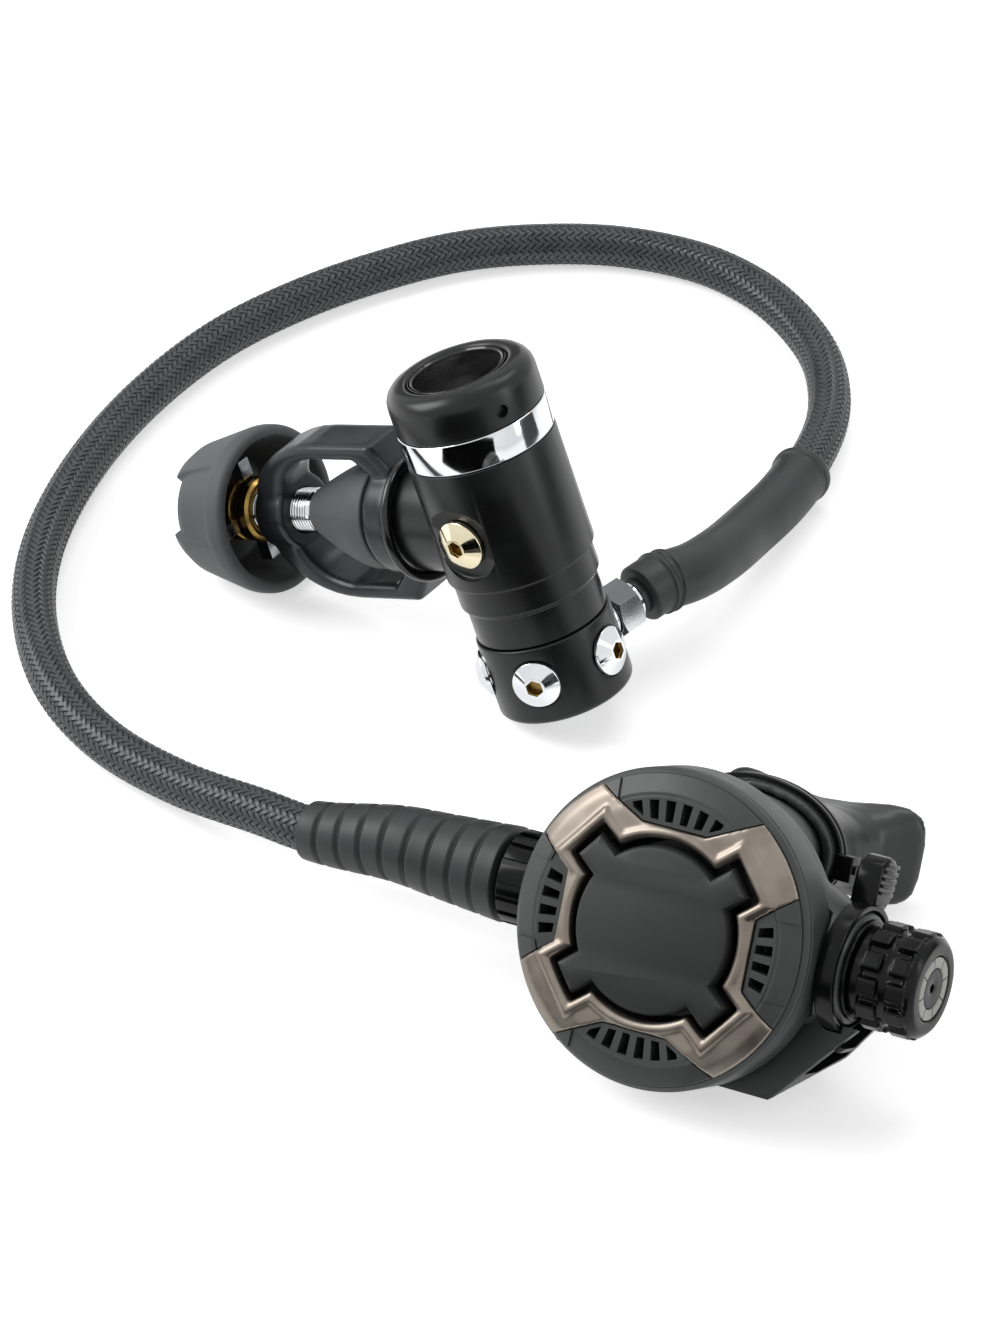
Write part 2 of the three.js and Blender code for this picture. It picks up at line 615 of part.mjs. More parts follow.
const toBarrel = alongAxis(X, Z);
const toCover = alongAxis(Y.clone().negate(), Z);
const toMouth = alongAxis(Y, Z);
const caseRadius = coverRadius - 2.6;
const diaphragmRadius = caseRadius - caseWall - gap;
const diaphragmPlane = ringBack + 4;

// Case: a bowl behind the cover, an oval mouthpiece tube and the barrel's bosses
function caseSolid() {
  const outer = turned([
    [0, -ringFront + 6], [caseRadius, -ringFront + 6], [caseRadius, 0], [caseRadius - 5, 6],
    [caseBackRadius, caseDepth], [0, caseDepth],
  ]);
  const w = caseWall;
  const inner = turned([[0, -ringFront], [caseRadius - w, -ringFront], [caseRadius - w, 0],
    [caseRadius - w - 5, 6 - w / 2], [caseBackRadius - w, caseDepth - w], [0, caseDepth - w]]);
  const oval = (inset, from, to) => loft([
    ovalRing(mouthHalfWidth + 2 - inset, mouthHalfHeight + 1 - inset, from, mouthCentre),
    ovalRing(mouthHalfWidth - inset, mouthHalfHeight - inset, caseDepth + 2, mouthCentre),
    ovalRing(mouthHalfWidth - inset, mouthHalfHeight - inset, to, mouthCentre)], true);
  const tube = oval(0, 2, mouthTubeEnd);
  const bosses = turned([[0, -inletBossEnd], [bossOuterRadius - 2, -inletBossEnd],
    [bossOuterRadius, -inletBossEnd + 2], [bossOuterRadius, knobBossEnd - 1.5],
    [bossOuterRadius - 1.5, knobBossEnd], [0, knobBossEnd]]);
  const seatRim = shifted(bar(exhaustRadius + 2, caseDepth - 5, caseDepth + 1.5), 0, exhaustCentre, 0);
  const exhaust = shifted(ring(4, exhaustRadius - 1, caseDepth - 8, caseDepth + 3), 0, exhaustCentre, 0);
  const whole = join(moved(join(outer, tube, seatRim), toMouth), moved(bosses, toBarrel));
  const acrossSeat = 2 * exhaustRadius + 10;
  const spokes = moved(shifted(join(box(2, acrossSeat, 3), box(acrossSeat, 2, 3)),
    0, exhaustCentre, caseDepth - 0.5), toMouth);
  const hollow = moved(join(inner, oval(w, 0, mouthTubeEnd + 1)), toMouth);
  const bore = moved(bar(barrelRadius + gap, -60, 60), toBarrel);
  const underRing = moved(ring(caseRadius, coverRadius + gap, ringBack - gap, ringFront), toCover);
  const pastNut = box(10, 30, 60, -inletBossEnd, -ringBack + gap - 15, 0);
  const beyondCase = cut(pastNut, moved(bar(caseRadius, 0, 60), toCover));
  const open = cut(whole, hollow, moved(exhaust, toMouth), bore, underRing, beyondCase);
  return join(open, keep(spokes, moved(shifted(bar(exhaustRadius, 0, 30), 0, exhaustCentre, 0), toMouth)));
}
add(secondStage, "case", caseSolid(), finishes.darkComposite);

// Cover ring: screws over the case's rim and carries the front cover
add(coverFrame, "cover_ring", turned([
  [caseRadius + gap, ringBack], [coverRadius - 1.2, ringBack], [coverRadius, ringBack + 1.2],
  [coverRadius, ringFront - 3], [coverRadius - 0.8, ringFront - 2.6], [coverRadius - 0.8, ringFront - 1],
  [coverRadius - 1.8, ringFront], [coverRadius - 4.5, ringFront], [coverRadius - 4.5, ringFront - 4],
  [caseRadius + gap, ringFront - 4],
]), finishes.composite);

// The outline of the button and, grown by a margin, of the opening round it
function buttonOutline(margin) {
  const shape = new THREE.Shape();
  const r = buttonRadius + margin;
  const half = buttonLugWidth / 2 + margin;
  const meet = Math.asin(half / r);
  const lugs = [buttonLugAngle, 180 - buttonLugAngle, 180 + buttonLugAngle, 360 - buttonLugAngle]
    .map(radians);
  lugs.forEach((a, i) => {
    const out = [Math.cos(a), Math.sin(a)];
    const side = [-out[1], out[0]];
    const tip = buttonLugRadius + margin;
    const corners = [[r * Math.cos(meet), -half], [tip, -half], [tip, half], [r * Math.cos(meet), half]];
    corners.forEach(([u, v], k) => {
      const x = u * out[0] + v * side[0];
      const y = u * out[1] + v * side[1];
      if (i + k === 0) shape.moveTo(x, y);
      else shape.lineTo(x, y);
    });
    const next = i < 3 ? lugs[i + 1] : lugs[0] + 2 * Math.PI;
    shape.absarc(0, 0, r, a + meet, next - meet, false);
  });
  return shape;
}

// The trim: a frame round the button with four wings that reach the ring
const trimWaist = buttonRadius + 3.6; // height of the frame above and below the button
const trimSide = buttonRadius + 4.4; // and beside it
const trimCorner = buttonLugWidth + 1; // from a middle line to where a wing begins
function trimOutline(grow, reach) {
  const shape = new THREE.Shape();
  const wing = radians(trimWingAngle);
  [0, 1, 2, 3].forEach((quarter) => {
    const mirrored = quarter % 2 === 1;
    const middle = quarter * (Math.PI / 2) + radians(mirrored ? 90 - buttonLugAngle : buttonLugAngle);
    const waist = mirrored ? trimWaist : trimSide;
    const other = mirrored ? trimSide : trimWaist;
    const flat = quarter * (Math.PI / 2);
    const point = (r, a) => [r * Math.cos(a), r * Math.sin(a)];
    const at = (along, across) => [
      along * Math.cos(flat) - across * Math.sin(flat), along * Math.sin(flat) + across * Math.cos(flat)];
    const from = at(waist + grow, trimCorner);
    if (quarter === 0) shape.moveTo(...from);
    else shape.lineTo(...from);
    shape.lineTo(...point(reach, middle - wing - grow / reach));
    shape.absarc(0, 0, reach, middle - wing - grow / reach, middle + wing + grow / reach, false);
    shape.lineTo(...at(trimCorner, other + grow));
  });
  shape.closePath();
  return shape;
}
const trimBack = coverFront - 2.2;
const trimFront = coverFront + 1.4;
const trimWell = (body) =>
  cut(body, raised(trimOutline(gap, coverRadius + 2), trimBack - gap, trimFront + 3, 0, 10));

function frontCover() {
  const plate = turned([
    [0, ringFront - 3.2], [trimOuter + 0.2, ringFront - 3.2], [trimOuter + 0.2, coverFront - 2],
    [trimOuter - 2.4, coverFront], [0, coverFront],
  ]);
  const slots = [];
  const slotGroup = (middle, count) => {
    for (let i = 0; i < count; i++) {
      const offset = (i - (count - 1) / 2) * ventPitch;
      const slot = box(ventLength, ventPitch * 0.55, 8, (ventInner + ventOuter) / 2, offset, coverFront);
      slots.push(spun(slot, middle));
    }
  };
  slotGroup(Math.PI / 2, 6);
  slotGroup(-Math.PI / 2, 6);
  slotGroup(0, 4);
  slotGroup(Math.PI, 4);
  const well = raised(buttonOutline(trimGap + 1), ringFront - 6, coverFront + 2, 0, 6);
  return cut(trimWell(plate), well, ...slots);
}
add(coverFrame, "front_cover", frontCover(), finishes.composite);

function coverTrim() {
  const outline = trimOutline(0, trimOuter + 3);
  outline.holes.push(new THREE.Path(buttonOutline(trimGap).getPoints(6)));
  const flat = raised(outline, trimBack, trimFront, 0.7, 10);
  const dome = turned([[0, trimBack - 1], [trimOuter + 4, trimBack - 1], [trimOuter + 4, trimBack + 0.4],
    [trimOuter - 3, trimFront - 0.4], [trimOuter - 7, trimFront + 0.2], [0, trimFront + 0.2]]);
  return cut(keep(flat, dome), ring(trimOuter + 0.4, 60, trimBack - 2, trimFront + 2));
}
add(coverFrame, "cover_trim", coverTrim(), finishes.gunmetal);

const buttonBack = coverFront - 3.4;
const buttonFront = coverFront + buttonHeight;
add(coverFrame, "purge_button", join(
  raised(buttonOutline(0), buttonBack, buttonFront, 1.2, 6),
  bar(4, diaphragmPlane + 4.2, buttonBack + 0.5)), finishes.purgeRubber);
add(coverFrame, "purge_spring",
  coil(7, 0.9, diaphragmPlane + 2.6, buttonBack - gap, 4, "purge_spring"), finishes.springSteel);
add(coverFrame, "diaphragm_plate", bar(14, diaphragmPlane + 1.3, diaphragmPlane + 2.3), finishes.chrome);
const rollRadius = diaphragmRadius - 10.3; // the soft fold round the diaphragm
const rollHalf = 3;
add(coverFrame, "diaphragm", turned([
  [0, diaphragmPlane], [rollRadius - rollHalf, diaphragmPlane], [rollRadius, diaphragmPlane - 1.6],
  [rollRadius + rollHalf, diaphragmPlane], [diaphragmRadius, diaphragmPlane],
  [diaphragmRadius, diaphragmPlane + 1.6], [diaphragmRadius - 4.3, diaphragmPlane + 1],
  [rollRadius + rollHalf, diaphragmPlane + 1], [rollRadius, diaphragmPlane - 0.6],
  [rollRadius - rollHalf, diaphragmPlane + 1], [0, diaphragmPlane + 1],
]), finishes.silicone);

// Valve: barrel, crown orifice, balanced poppet and spring, demand lever
const inletEnd = -(inletBossEnd + gap + inletNutLength);
add(barrelFrame, "valve_barrel", cut(turned([
  [5.4, -inletBossEnd - 6], [barrelRadius, -inletBossEnd - 6], [barrelRadius, knobBossEnd],
  [5.4, knobBossEnd],
]), box(8.4, 6, 6.5, -7.8, 0, 5.75)), finishes.chrome);
add(barrelFrame, "orifice_seat", ring(2, 5.1, -22, -12), finishes.brass);
add(barrelFrame, "poppet", join(bar(4, -11.7, -8), bar(1.8, -8.5, 17), bar(4.4, 6, 8.6)),
  finishes.seat);
add(barrelFrame, "poppet_spring", coil(3.4, 0.9, 8.9, 20.7, 6, "poppet_spring"), finishes.springSteel);
add(barrelFrame, "adjustment_shaft", join(
  ring(2.2, 5.1, 21, 34), bar(3.4, 33.5, adjusterEnd - 5)), finishes.chrome);

// Demand lever: a forked foot in the barrel's slot and an arm up to the diaphragm's plate
function demandLever() {
  const reach = diaphragmPlane - gap;
  return raised(polygon([
    [2.6, 2], [9.6, 2], [reach - 1.6, 8.4], [reach, 14], [reach - 1, 14], [reach - 2.8, 9],
    [8.6, 3.2], [2.6, 3.2],
  ]), -2.2, 2.2);
}
add(barrelFrame, "demand_lever", moved(demandLever(),
  new THREE.Matrix4().makeBasis(X.clone().negate(), Z, Y).setPosition(0, 0, 2)), finishes.springSteel);

// Adjustment knob: two ribbed rings with a smooth band, its end cup and disc
function adjustmentKnob() {
  const middle = (adjusterStart + adjusterEnd) / 2;
  const body = turned([
    [0, adjusterStart], [adjusterRadius - 1.6, adjusterStart], [adjusterRadius - 1.6, adjusterStart + 3],
    [adjusterRadius, adjusterStart + 3.6], [adjusterRadius, middle - 0.6], [adjusterRadius - 1, middle],
    [adjusterRadius - 1, middle + 1.4], [adjusterRadius, middle + 2], [adjusterRadius, adjusterEnd - 2],
    [adjusterRadius - 1.4, adjusterEnd], [8.4, adjusterEnd], [8.4, adjusterEnd - 1.6], [0, adjusterEnd - 1.6],
  ]);
  const grooves = around(adjusterRibs, (a) => spun(
    box(1.6, 1.5, adjusterEnd - adjusterStart, adjusterRadius, 0, (adjusterStart + adjusterEnd) / 2 + 2), a));
  const socket = bar(3.4 + gap, adjusterStart - 1, adjusterEnd - 5 + gap);
  return cut(body, ...grooves, socket);
}
add(barrelFrame, "adjustment_knob", adjustmentKnob(), finishes.rubber);
add(barrelFrame, "knob_end_disc", cut(bar(8, adjusterEnd - 1.6 + gap, adjusterEnd - 0.3),
  bar(1.1, adjusterEnd - 1.6, adjusterEnd + 1)), finishes.springSteel);

// Venturi lever on the knob's boss and the vane that it turns inside the case
const leverStart = coverRadius + gap;
const leverEnd = knobBossEnd - 0.4;
const leverCollar = bossOuterRadius + 2;
function venturiLever() {
  const collar = ring(bossOuterRadius + gap, leverCollar, leverStart, leverEnd);
  const handle = polygon([[-4, leverCollar - 1], [4, leverCollar - 1], [6.4, 20], [4.5, 27.5], [-1, 28.5],
    [-4.6, 24]]);
  return join(collar, raised(handle, leverStart - 1.4, leverEnd + 1, 0.8));
}
const leverBody = cut(venturiLever(), bar(bossOuterRadius + gap, leverStart - 5, leverEnd + 5));
add(barrelFrame, "venturi_lever", spun(leverBody, radians(-8)), finishes.purgeRubber);
const vaneRing = 10.4;
const vaneStart = 17.5; // past the demand lever's tip
const vaneEnd = vaneStart + 6;
const vane = join(ring(barrelRadius + gap, vaneRing, vaneStart, vaneEnd),
  box(1.4, 6, 9, 0, vaneRing + 1.8, vaneStart + 0.5));
add(barrelFrame, "venturi_vane", cut(vane, bar(barrelRadius + gap, 0, vaneEnd + 1)), finishes.seat);

// Mouthpiece: an oval tube that widens to a lip flange with two bite tabs
function mouthpiece() {
  const bore = gap;
  const ovals = [
    [mouthHalfWidth + 3.2, mouthHalfHeight + 2.6, caseDepth + 4],
    [mouthHalfWidth + 3.2, mouthHalfHeight + 2.6, mouthTubeEnd - 4],
    [mouthHalfWidth + 1, mouthHalfHeight + 1, mouthTubeEnd + 6],
    [mouthHalfWidth, mouthHalfHeight, mouthpieceEnd - 10],
    [mouthHalfWidth + 5, mouthHalfHeight + 0.8, mouthpieceEnd - 5],
    [flangeHalfWidth, flangeHalfHeight, mouthpieceEnd - 1.5],
    [flangeHalfWidth - 0.8, flangeHalfHeight - 0.8, mouthpieceEnd],
    [15, 7.5, mouthpieceEnd],
    [15, 8, mouthTubeEnd + 8],
    [mouthHalfWidth + bore, mouthHalfHeight + bore, mouthTubeEnd + gap],
    [mouthHalfWidth + bore, mouthHalfHeight + bore, caseDepth + 4],
  ];
  const tube = loft(ovals.map(([w, h, z]) => ovalRing(w, h, z, mouthCentre)), false);
  const tabs = [1, -1].map((side) => join(
    box(11, 2.6, 15, side * 19, mouthCentre, mouthpieceEnd + 6.5),
    box(11, 8, 2.6, side * 19, mouthCentre, mouthpieceEnd + 14)));
  return join(tube, ...tabs);
}
add(mouthFrame, "mouthpiece", mouthpiece(), finishes.silicone);

function mouthpieceTie() {
  const [w, h] = [mouthHalfWidth + 3.2 + gap, mouthHalfHeight + 2.6 + gap];
  const [from, to] = [caseDepth + 6.5, caseDepth + 10.5];
  const band = loft([
    ovalRing(w + 1.4, h + 1.4, from, mouthCentre), ovalRing(w + 1.4, h + 1.4, to, mouthCentre),
    ovalRing(w, h, to, mouthCentre), ovalRing(w, h, from, mouthCentre)], false);
  return join(band, box(4.6, 6.4, to - from + 1, -(w + 2.4), mouthCentre - 1, (from + to) / 2));
}
add(mouthFrame, "mouthpiece_tie", mouthpieceTie(), finishes.purgeRubber);

add(mouthFrame, "exhaust_valve", shifted(join(bar(exhaustRadius + 0.8, caseDepth + 1.8, caseDepth + 2.8),
  bar(1.6, caseDepth + 2, caseDepth + 5)), 0, exhaustCentre, 0), finishes.silicone);

// Exhaust cover: a hollow wedge under the case, open at both ends
function exhaustCover() {
  const face = (inset) => polygon([
    [-teeHalfWidth + inset, teeBottom + inset], [teeHalfWidth - inset, teeBottom + inset],
    [teeWing + inset * 3, teeWingHeight - inset * 1.2],
    [teeWing - 6 + inset * 3, teeWingHeight + 5 - inset],
    [teeBackHalfWidth, teeTop - inset], [-teeBackHalfWidth, teeTop - inset],
    [-teeWing + 6 - inset * 3, teeWingHeight + 5 - inset],
    [-teeWing - inset * 3, teeWingHeight - inset * 1.2]]);
  const side = (inset) => polygon([
    [teeFront + inset, teeBottom + inset * 1.6], [teeBack - inset, teeBackBottom + inset * 1.2],
    [teeBack - inset, teeTop + 1], [teeFront + inset, teeTop + 1]]);
  const plan = (inset) => polygon([
    [-teeWing - 9, teeFront - 1], [teeWing + 9, teeFront - 1], [teeWing + 9, 1 - inset * 1.2],
    [teeBackHalfWidth - inset * 2, teeBack + 1], [-teeBackHalfWidth + inset * 2, teeBack + 1],
    [-teeWing - 9, 1 - inset * 1.2]]);
  const toXZ = new THREE.Matrix4().makeBasis(X, Z, Y.clone().negate());
  const toYZ = new THREE.Matrix4().makeBasis(Y, Z, X);
  const beyond = 2 * teeWing; // past the wedge on every side
  const block = (inset) => keep(
    moved(raised(face(inset), -teeBack - 1, -teeFront + 1), toXZ),
    moved(raised(side(inset), -beyond, beyond), toYZ),
    raised(plan(inset), -beyond, beyond));
  const bowl = moved(turned([
    [0, -ringFront], [coverRadius + gap, -ringFront], [coverRadius + gap, -ringBack + gap],
    [caseRadius + gap, -ringBack + gap], [caseRadius + gap, 0.2], [caseRadius - 4.6, 6.2],
    [caseBackRadius + gap, caseDepth + gap], [0, caseDepth + gap],
  ]), toMouth);
  const valve = moved(shifted(bar(exhaustRadius + 2.3, 0, caseDepth + 5.4), 0, exhaustCentre, 0), toMouth);
  const boss = moved(join(bar(bossOuterRadius + gap, -beyond, beyond),
    bar(leverCollar + gap, leverStart - gap, leverEnd + gap)), toBarrel);
  return cut(block(0), block(2), bowl, valve, boss);
}
add(secondStage, "exhaust_cover", exhaustCover(), finishes.darkComposite);

// Inlet: the ribbed swivel nut and the hose's ferrule
function inletNut() {
  const body = turned([
    [barrelRadius + gap, inletEnd], [inletNutRadius - 0.8, inletEnd], [inletNutRadius, inletEnd + 0.8],
    [inletNutRadius, inletEnd + inletNutLength - 0.8], [inletNutRadius - 0.8, inletEnd + inletNutLength],
    [barrelRadius + gap, inletEnd + inletNutLength],
  ]);
  const back = turned([[0, inletEnd], [barrelRadius + 1, inletEnd], [barrelRadius + 1, inletEnd + 4],
    [0, inletEnd + 4]]);
  const grooves = around(inletNutRibs, (a) => spun(
    box(1.4, 1.5, inletNutLength - 3, inletNutRadius, 0, inletEnd + inletNutLength / 2), a));
  return cut(join(body, back), ...grooves);
}
add(barrelFrame, "inlet_nut", inletNut(), finishes.purgeRubber);
const ferrule = add(barrelFrame, "hose_ferrule",
  bar(hoseRadius, inletEnd - gap - ferruleLength, inletEnd - gap), finishes.springSteel);

// ---------------------------------------------------------------- places
const group = new THREE.Group();
group.add(firstStage, secondStage);

// Stands a group on the table at its place.
function stand(what, [x, y]) {
  what.position.set(x, y, 0);
  what.updateMatrixWorld(true);
  const low = new THREE.Box3().setFromObject(what, true).min.z;
  what.position.z = -low;
  what.updateMatrixWorld(true);
}
stand(firstStage, firstStageAt);
stand(secondStage, secondStageAt);

// ---------------------------------------------------------------- hose
// It leaves the fitting and enters the ferrule straight, so each end is two points on an axis.
const onAxis = (mesh, z) => new THREE.Vector3(0, 0, z).applyMatrix4(mesh.matrixWorld);
const ferruleEnd = inletEnd - gap - ferruleLength;
const routePoints = [
  onAxis(fittingMesh, fittingEnd + gap), onAxis(fittingMesh, fittingEnd + 9),
  ...hoseRoute.map((p) => new THREE.Vector3(...p)),
  onAxis(ferrule, ferruleEnd - 26), onAxis(ferrule, ferruleEnd - 12), onAxis(ferrule, ferruleEnd - gap),
];
const route = new THREE.CatmullRomCurve3(routePoints, false, "centripetal");
route.arcLengthDivisions = 2000;
const stations = route.getSpacedPoints(hoseSteps);
const frames = route.computeFrenetFrames(hoseSteps, false);
const hoseLength = route.getLength();
const stepLength = hoseLength / hoseSteps;
console.log("hose length " + hoseLength.toFixed(1) + " mm, step " + stepLength.toFixed(1) + " mm");

const section = polygon(around(hoseSides, (a) => [hoseRadius * Math.cos(a), hoseRadius * Math.sin(a)]));
add(group, "hose", solid(new THREE.ExtrudeGeometry(section, {
  steps: hoseSteps, extrudePath: route, bevelEnabled: false })), finishes.braid);

// A ring of points round the hose at a distance along it, which may run past its ends.
function ringAlong(distance, radius, sides) {
  const s = distance / stepLength;
  const i = Math.min(Math.max(Math.floor(s), 0), hoseSteps - 1);
  const t = s - i;
  const mix = (list) => list[i].clone().lerp(list[i + 1], t);
  const centre = mix(stations);
  const n = mix(frames.normals);
  const b = mix(frames.binormals);
  return around(sides, (a) => centre.clone()
    .addScaledVector(n, radius * Math.cos(a)).addScaledVector(b, radius * Math.sin(a)));
}

// A sleeve round the hose from a list of [distance, radius], with a bore that clears it.
function sleeve(profile, boreRadius, sides) {
  const outer = profile.map(([s, r]) => ringAlong(s, r, sides));
  const [first, last] = [profile[0][0], profile.at(-1)[0]];
  const inner = [];
  const from = Math.ceil(first / stepLength + 0.05);
  const to = Math.floor(last / stepLength - 0.05);
  inner.push(ringAlong(last, boreRadius, sides));
  for (let i = to; i >= from; i--) inner.push(ringAlong(i * stepLength, boreRadius, sides));
  inner.push(ringAlong(first, boreRadius, sides));
  return loft([...outer, ...inner], false);
}
const bore = hoseRadius + 0.45;
const sleeveRadius = bore + sleeveWall;
const sleeveStep = 15; // between the sleeve's plain rings
const plainRings = [];
for (let s = 2 * sleeveStep; s < sleeveLength - 5; s += sleeveStep) plainRings.push([s, sleeveRadius]);
add(group, "hose_sleeve", sleeve([
  [2, sleeveRadius - 0.5], [3, sleeveRadius], [8, sleeveRadius], [8.8, sleeveRadius + 0.5],
  [9.6, sleeveRadius], [14, sleeveRadius], [14.8, sleeveRadius + 0.5], [15.6, sleeveRadius],
  ...plainRings, [sleeveLength - 3, sleeveRadius], [sleeveLength - 2, sleeveRadius + 0.6],
  [sleeveLength - 0.6, sleeveRadius + 0.4], [sleeveLength, sleeveRadius - 0.4],
], bore, hoseSides), finishes.rubber);

function grip() {
  const end = hoseLength + ferruleLength;
  const start = end - gripLength;
  const pitch = gripLength / gripRibs;
  const profile = [];
  for (let i = 0; i < gripRibs; i++) {
    const radius = gripHoseRadius + (gripNutRadius - gripHoseRadius) * (i / (gripRibs - 1));
    const at = start + i * pitch;
    profile.push([at + 0.05, radius - gripGroove], [at + pitch * 0.22, radius], [at + pitch * 0.78, radius],
      [at + pitch - 0.05, radius - gripGroove]);
  }
  return sleeve(profile, bore, hoseSides);
}
add(group, "hose_grip", grip(), finishes.rubber);

firstStage.updateMatrixWorld(true);
export default group;
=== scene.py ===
# %% [markdown]
# # A scuba regulator set
# A regulator brings the gas of a diving cylinder down to the pressure of the water in two steps.
# The first stage clamps to the cylinder's valve with a yoke and a knob. A braided hose takes the gas
# to the second stage, the round piece that is held in the mouth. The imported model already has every
# moving piece in its place, so this notebook only dresses it: each piece is made again with its
# fillets, ribs, braid and finish, on the same axes as the solid that it stands for.

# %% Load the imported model
import json
import math

import bpy
import bmesh
from mathutils import Matrix, Vector


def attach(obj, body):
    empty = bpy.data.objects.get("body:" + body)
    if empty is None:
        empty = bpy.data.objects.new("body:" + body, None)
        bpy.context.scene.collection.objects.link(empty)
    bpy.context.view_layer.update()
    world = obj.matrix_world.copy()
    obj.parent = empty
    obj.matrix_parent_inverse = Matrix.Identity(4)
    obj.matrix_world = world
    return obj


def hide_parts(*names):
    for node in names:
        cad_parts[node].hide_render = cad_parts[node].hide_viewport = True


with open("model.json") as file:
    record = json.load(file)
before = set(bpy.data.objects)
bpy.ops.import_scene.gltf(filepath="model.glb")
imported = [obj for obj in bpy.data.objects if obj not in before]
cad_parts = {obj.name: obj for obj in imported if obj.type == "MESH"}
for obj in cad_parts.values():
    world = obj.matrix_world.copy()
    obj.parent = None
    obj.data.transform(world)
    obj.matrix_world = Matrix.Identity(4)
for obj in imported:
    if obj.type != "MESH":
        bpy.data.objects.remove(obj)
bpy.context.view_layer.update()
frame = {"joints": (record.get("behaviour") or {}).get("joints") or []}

MM = 0.001

# %% [markdown]
# ## Local frames
# Both stages lie tilted on the table, so nothing on them runs along X, Y or Z. Each joint of the
# model stores a point and an axis. From these come six frames, one for each way that the pieces
# point, and every size below is then a plain number of millimetres in one of them.

# %% Frames of the two stages
joints = {joint["name"]: joint for joint in frame["joints"]}


def axis_of(name):
    return Vector(joints[name]["axis"]).normalized()


def frame_of(x_axis, y_axis, z_axis, at):
    """The matrix that takes millimetres along three axes to the row frame, in metres."""
    columns = [axis * MM for axis in (x_axis, y_axis, z_axis)]
    turned_by = Matrix([[column[row] for column in columns] for row in range(3)]).to_4x4()
    return Matrix.Translation(at) @ turned_by


first_up = axis_of("turret_swivel")
yoke_out = axis_of("yoke_screw_travel")
first_side = first_up.cross(yoke_out)
first_at = Vector(joints["turret_swivel"]["pos_m"])
barrel_out = axis_of("adjustment_knob_turn")
cover_in = axis_of("purge_press")
second_up = barrel_out.cross(cover_in)
KNOB_JOINT_AT = 55  # where that joint's point lies along the barrel
second_at = Vector(joints["adjustment_knob_turn"]["pos_m"]) - barrel_out * KNOB_JOINT_AT * MM

FIRST = frame_of(yoke_out, first_side, first_up, first_at)
YOKE = frame_of(first_side, first_up, yoke_out, first_at)
SECOND = frame_of(barrel_out, cover_in, second_up, second_at)
BARREL = frame_of(cover_in, second_up, barrel_out, second_at)
COVER = frame_of(barrel_out, second_up, -cover_in, second_at)
MOUTH = frame_of(-barrel_out, second_up, cover_in, second_at)
print("first stage tilts", round(math.degrees(first_up.angle(Vector((0, 0, 1)))), 1), "degrees")

# %% [markdown]
# ## Camera
# The photograph looks down on the table at 38 degrees with a long lens. Its frame is 1000 by 1320
# pixels, and 6040 pixels of focal length over a 36 mm wide sensor give the lens.

# %% Camera at the photograph's viewing angle
FRAME_WIDTH = 1000
FOCAL_PIXELS = 6040
SENSOR_WIDTH = 36
CAMERA_AT = Vector((-10.2, -1237.3, 1017.0)) * MM
LOOKING_DOWN = 38  # degrees below the horizon


def linked(name, data):
    """A new object of the scene, made of a mesh, a curve, a lamp or a camera."""
    made = bpy.data.objects.new(name, data)
    bpy.context.scene.collection.objects.link(made)
    return made


camera = linked("camera", bpy.data.cameras.new("camera"))
bpy.context.scene.camera = camera
camera.data.sensor_fit = "HORIZONTAL"
camera.data.sensor_width = SENSOR_WIDTH
camera.data.lens = SENSOR_WIDTH * FOCAL_PIXELS / FRAME_WIDTH
camera.data.clip_start, camera.data.clip_end = 0.05, 20
camera.location = CAMERA_AT
camera.rotation_euler = (math.radians(90 - LOOKING_DOWN), 0, 0)
print("lens", round(camera.data.lens, 1), "mm")

# %% [markdown]
# ## Adding nodes
# Materials and Geometry Nodes are both node trees. One small function adds a node, sets its
# properties, and fills its inputs with values or with links from other nodes.

# %% One function for every kind of node
def node(tree, kind, inputs=None, **settings):
    """Adds a node. Inputs are given by name or number, as values or as other nodes' outputs."""
    added = tree.nodes.new(kind)
    for name, value in settings.items():
        setattr(added, name, value)
    for key, value in (inputs or {}).items():
        if isinstance(value, bpy.types.Node):
            value = value.outputs[0]
        if isinstance(value, bpy.types.NodeSocket):
            tree.links.new(value, added.inputs[key])
        else:
            added.inputs[key].default_value = value
    return added


def fresh_tree(owner):
    """The empty node tree of a new material or world."""
    owner.use_nodes = True
    owner.node_tree.nodes.clear()
    return owner.node_tree


def linear(hex_colour):
    """An sRGB hex colour as the linear RGBA that Blender's sockets take."""
    channels = [int(hex_colour[i:i + 2], 16) / 255 for i in (1, 3, 5)]
    return [c / 12.92 if c <= 0.04045 else ((c + 0.055) / 1.055) ** 2.4 for c in channels] + [1]


print("half grey in linear light:", round(linear("#808080")[0], 3))

# %% [markdown]
# ## Finishes
# Nearly every surface here is black or grey, so the finishes are told apart by their gloss and grain
# more than by colour. One function builds what they share. A slow noise drifts between two close
# colours and two roughnesses, as handling and wear do, and a fine noise of a real grain size gives
# the bump. Object coordinates are in metres, so a grain of g millimetres is a noise of scale 1000/g.

# %% A finish with drifting colour, gloss and a fine grain
DRIFT_BAND = {"From Min": 0.35, "From Max": 0.65}  # a noise seldom leaves this range


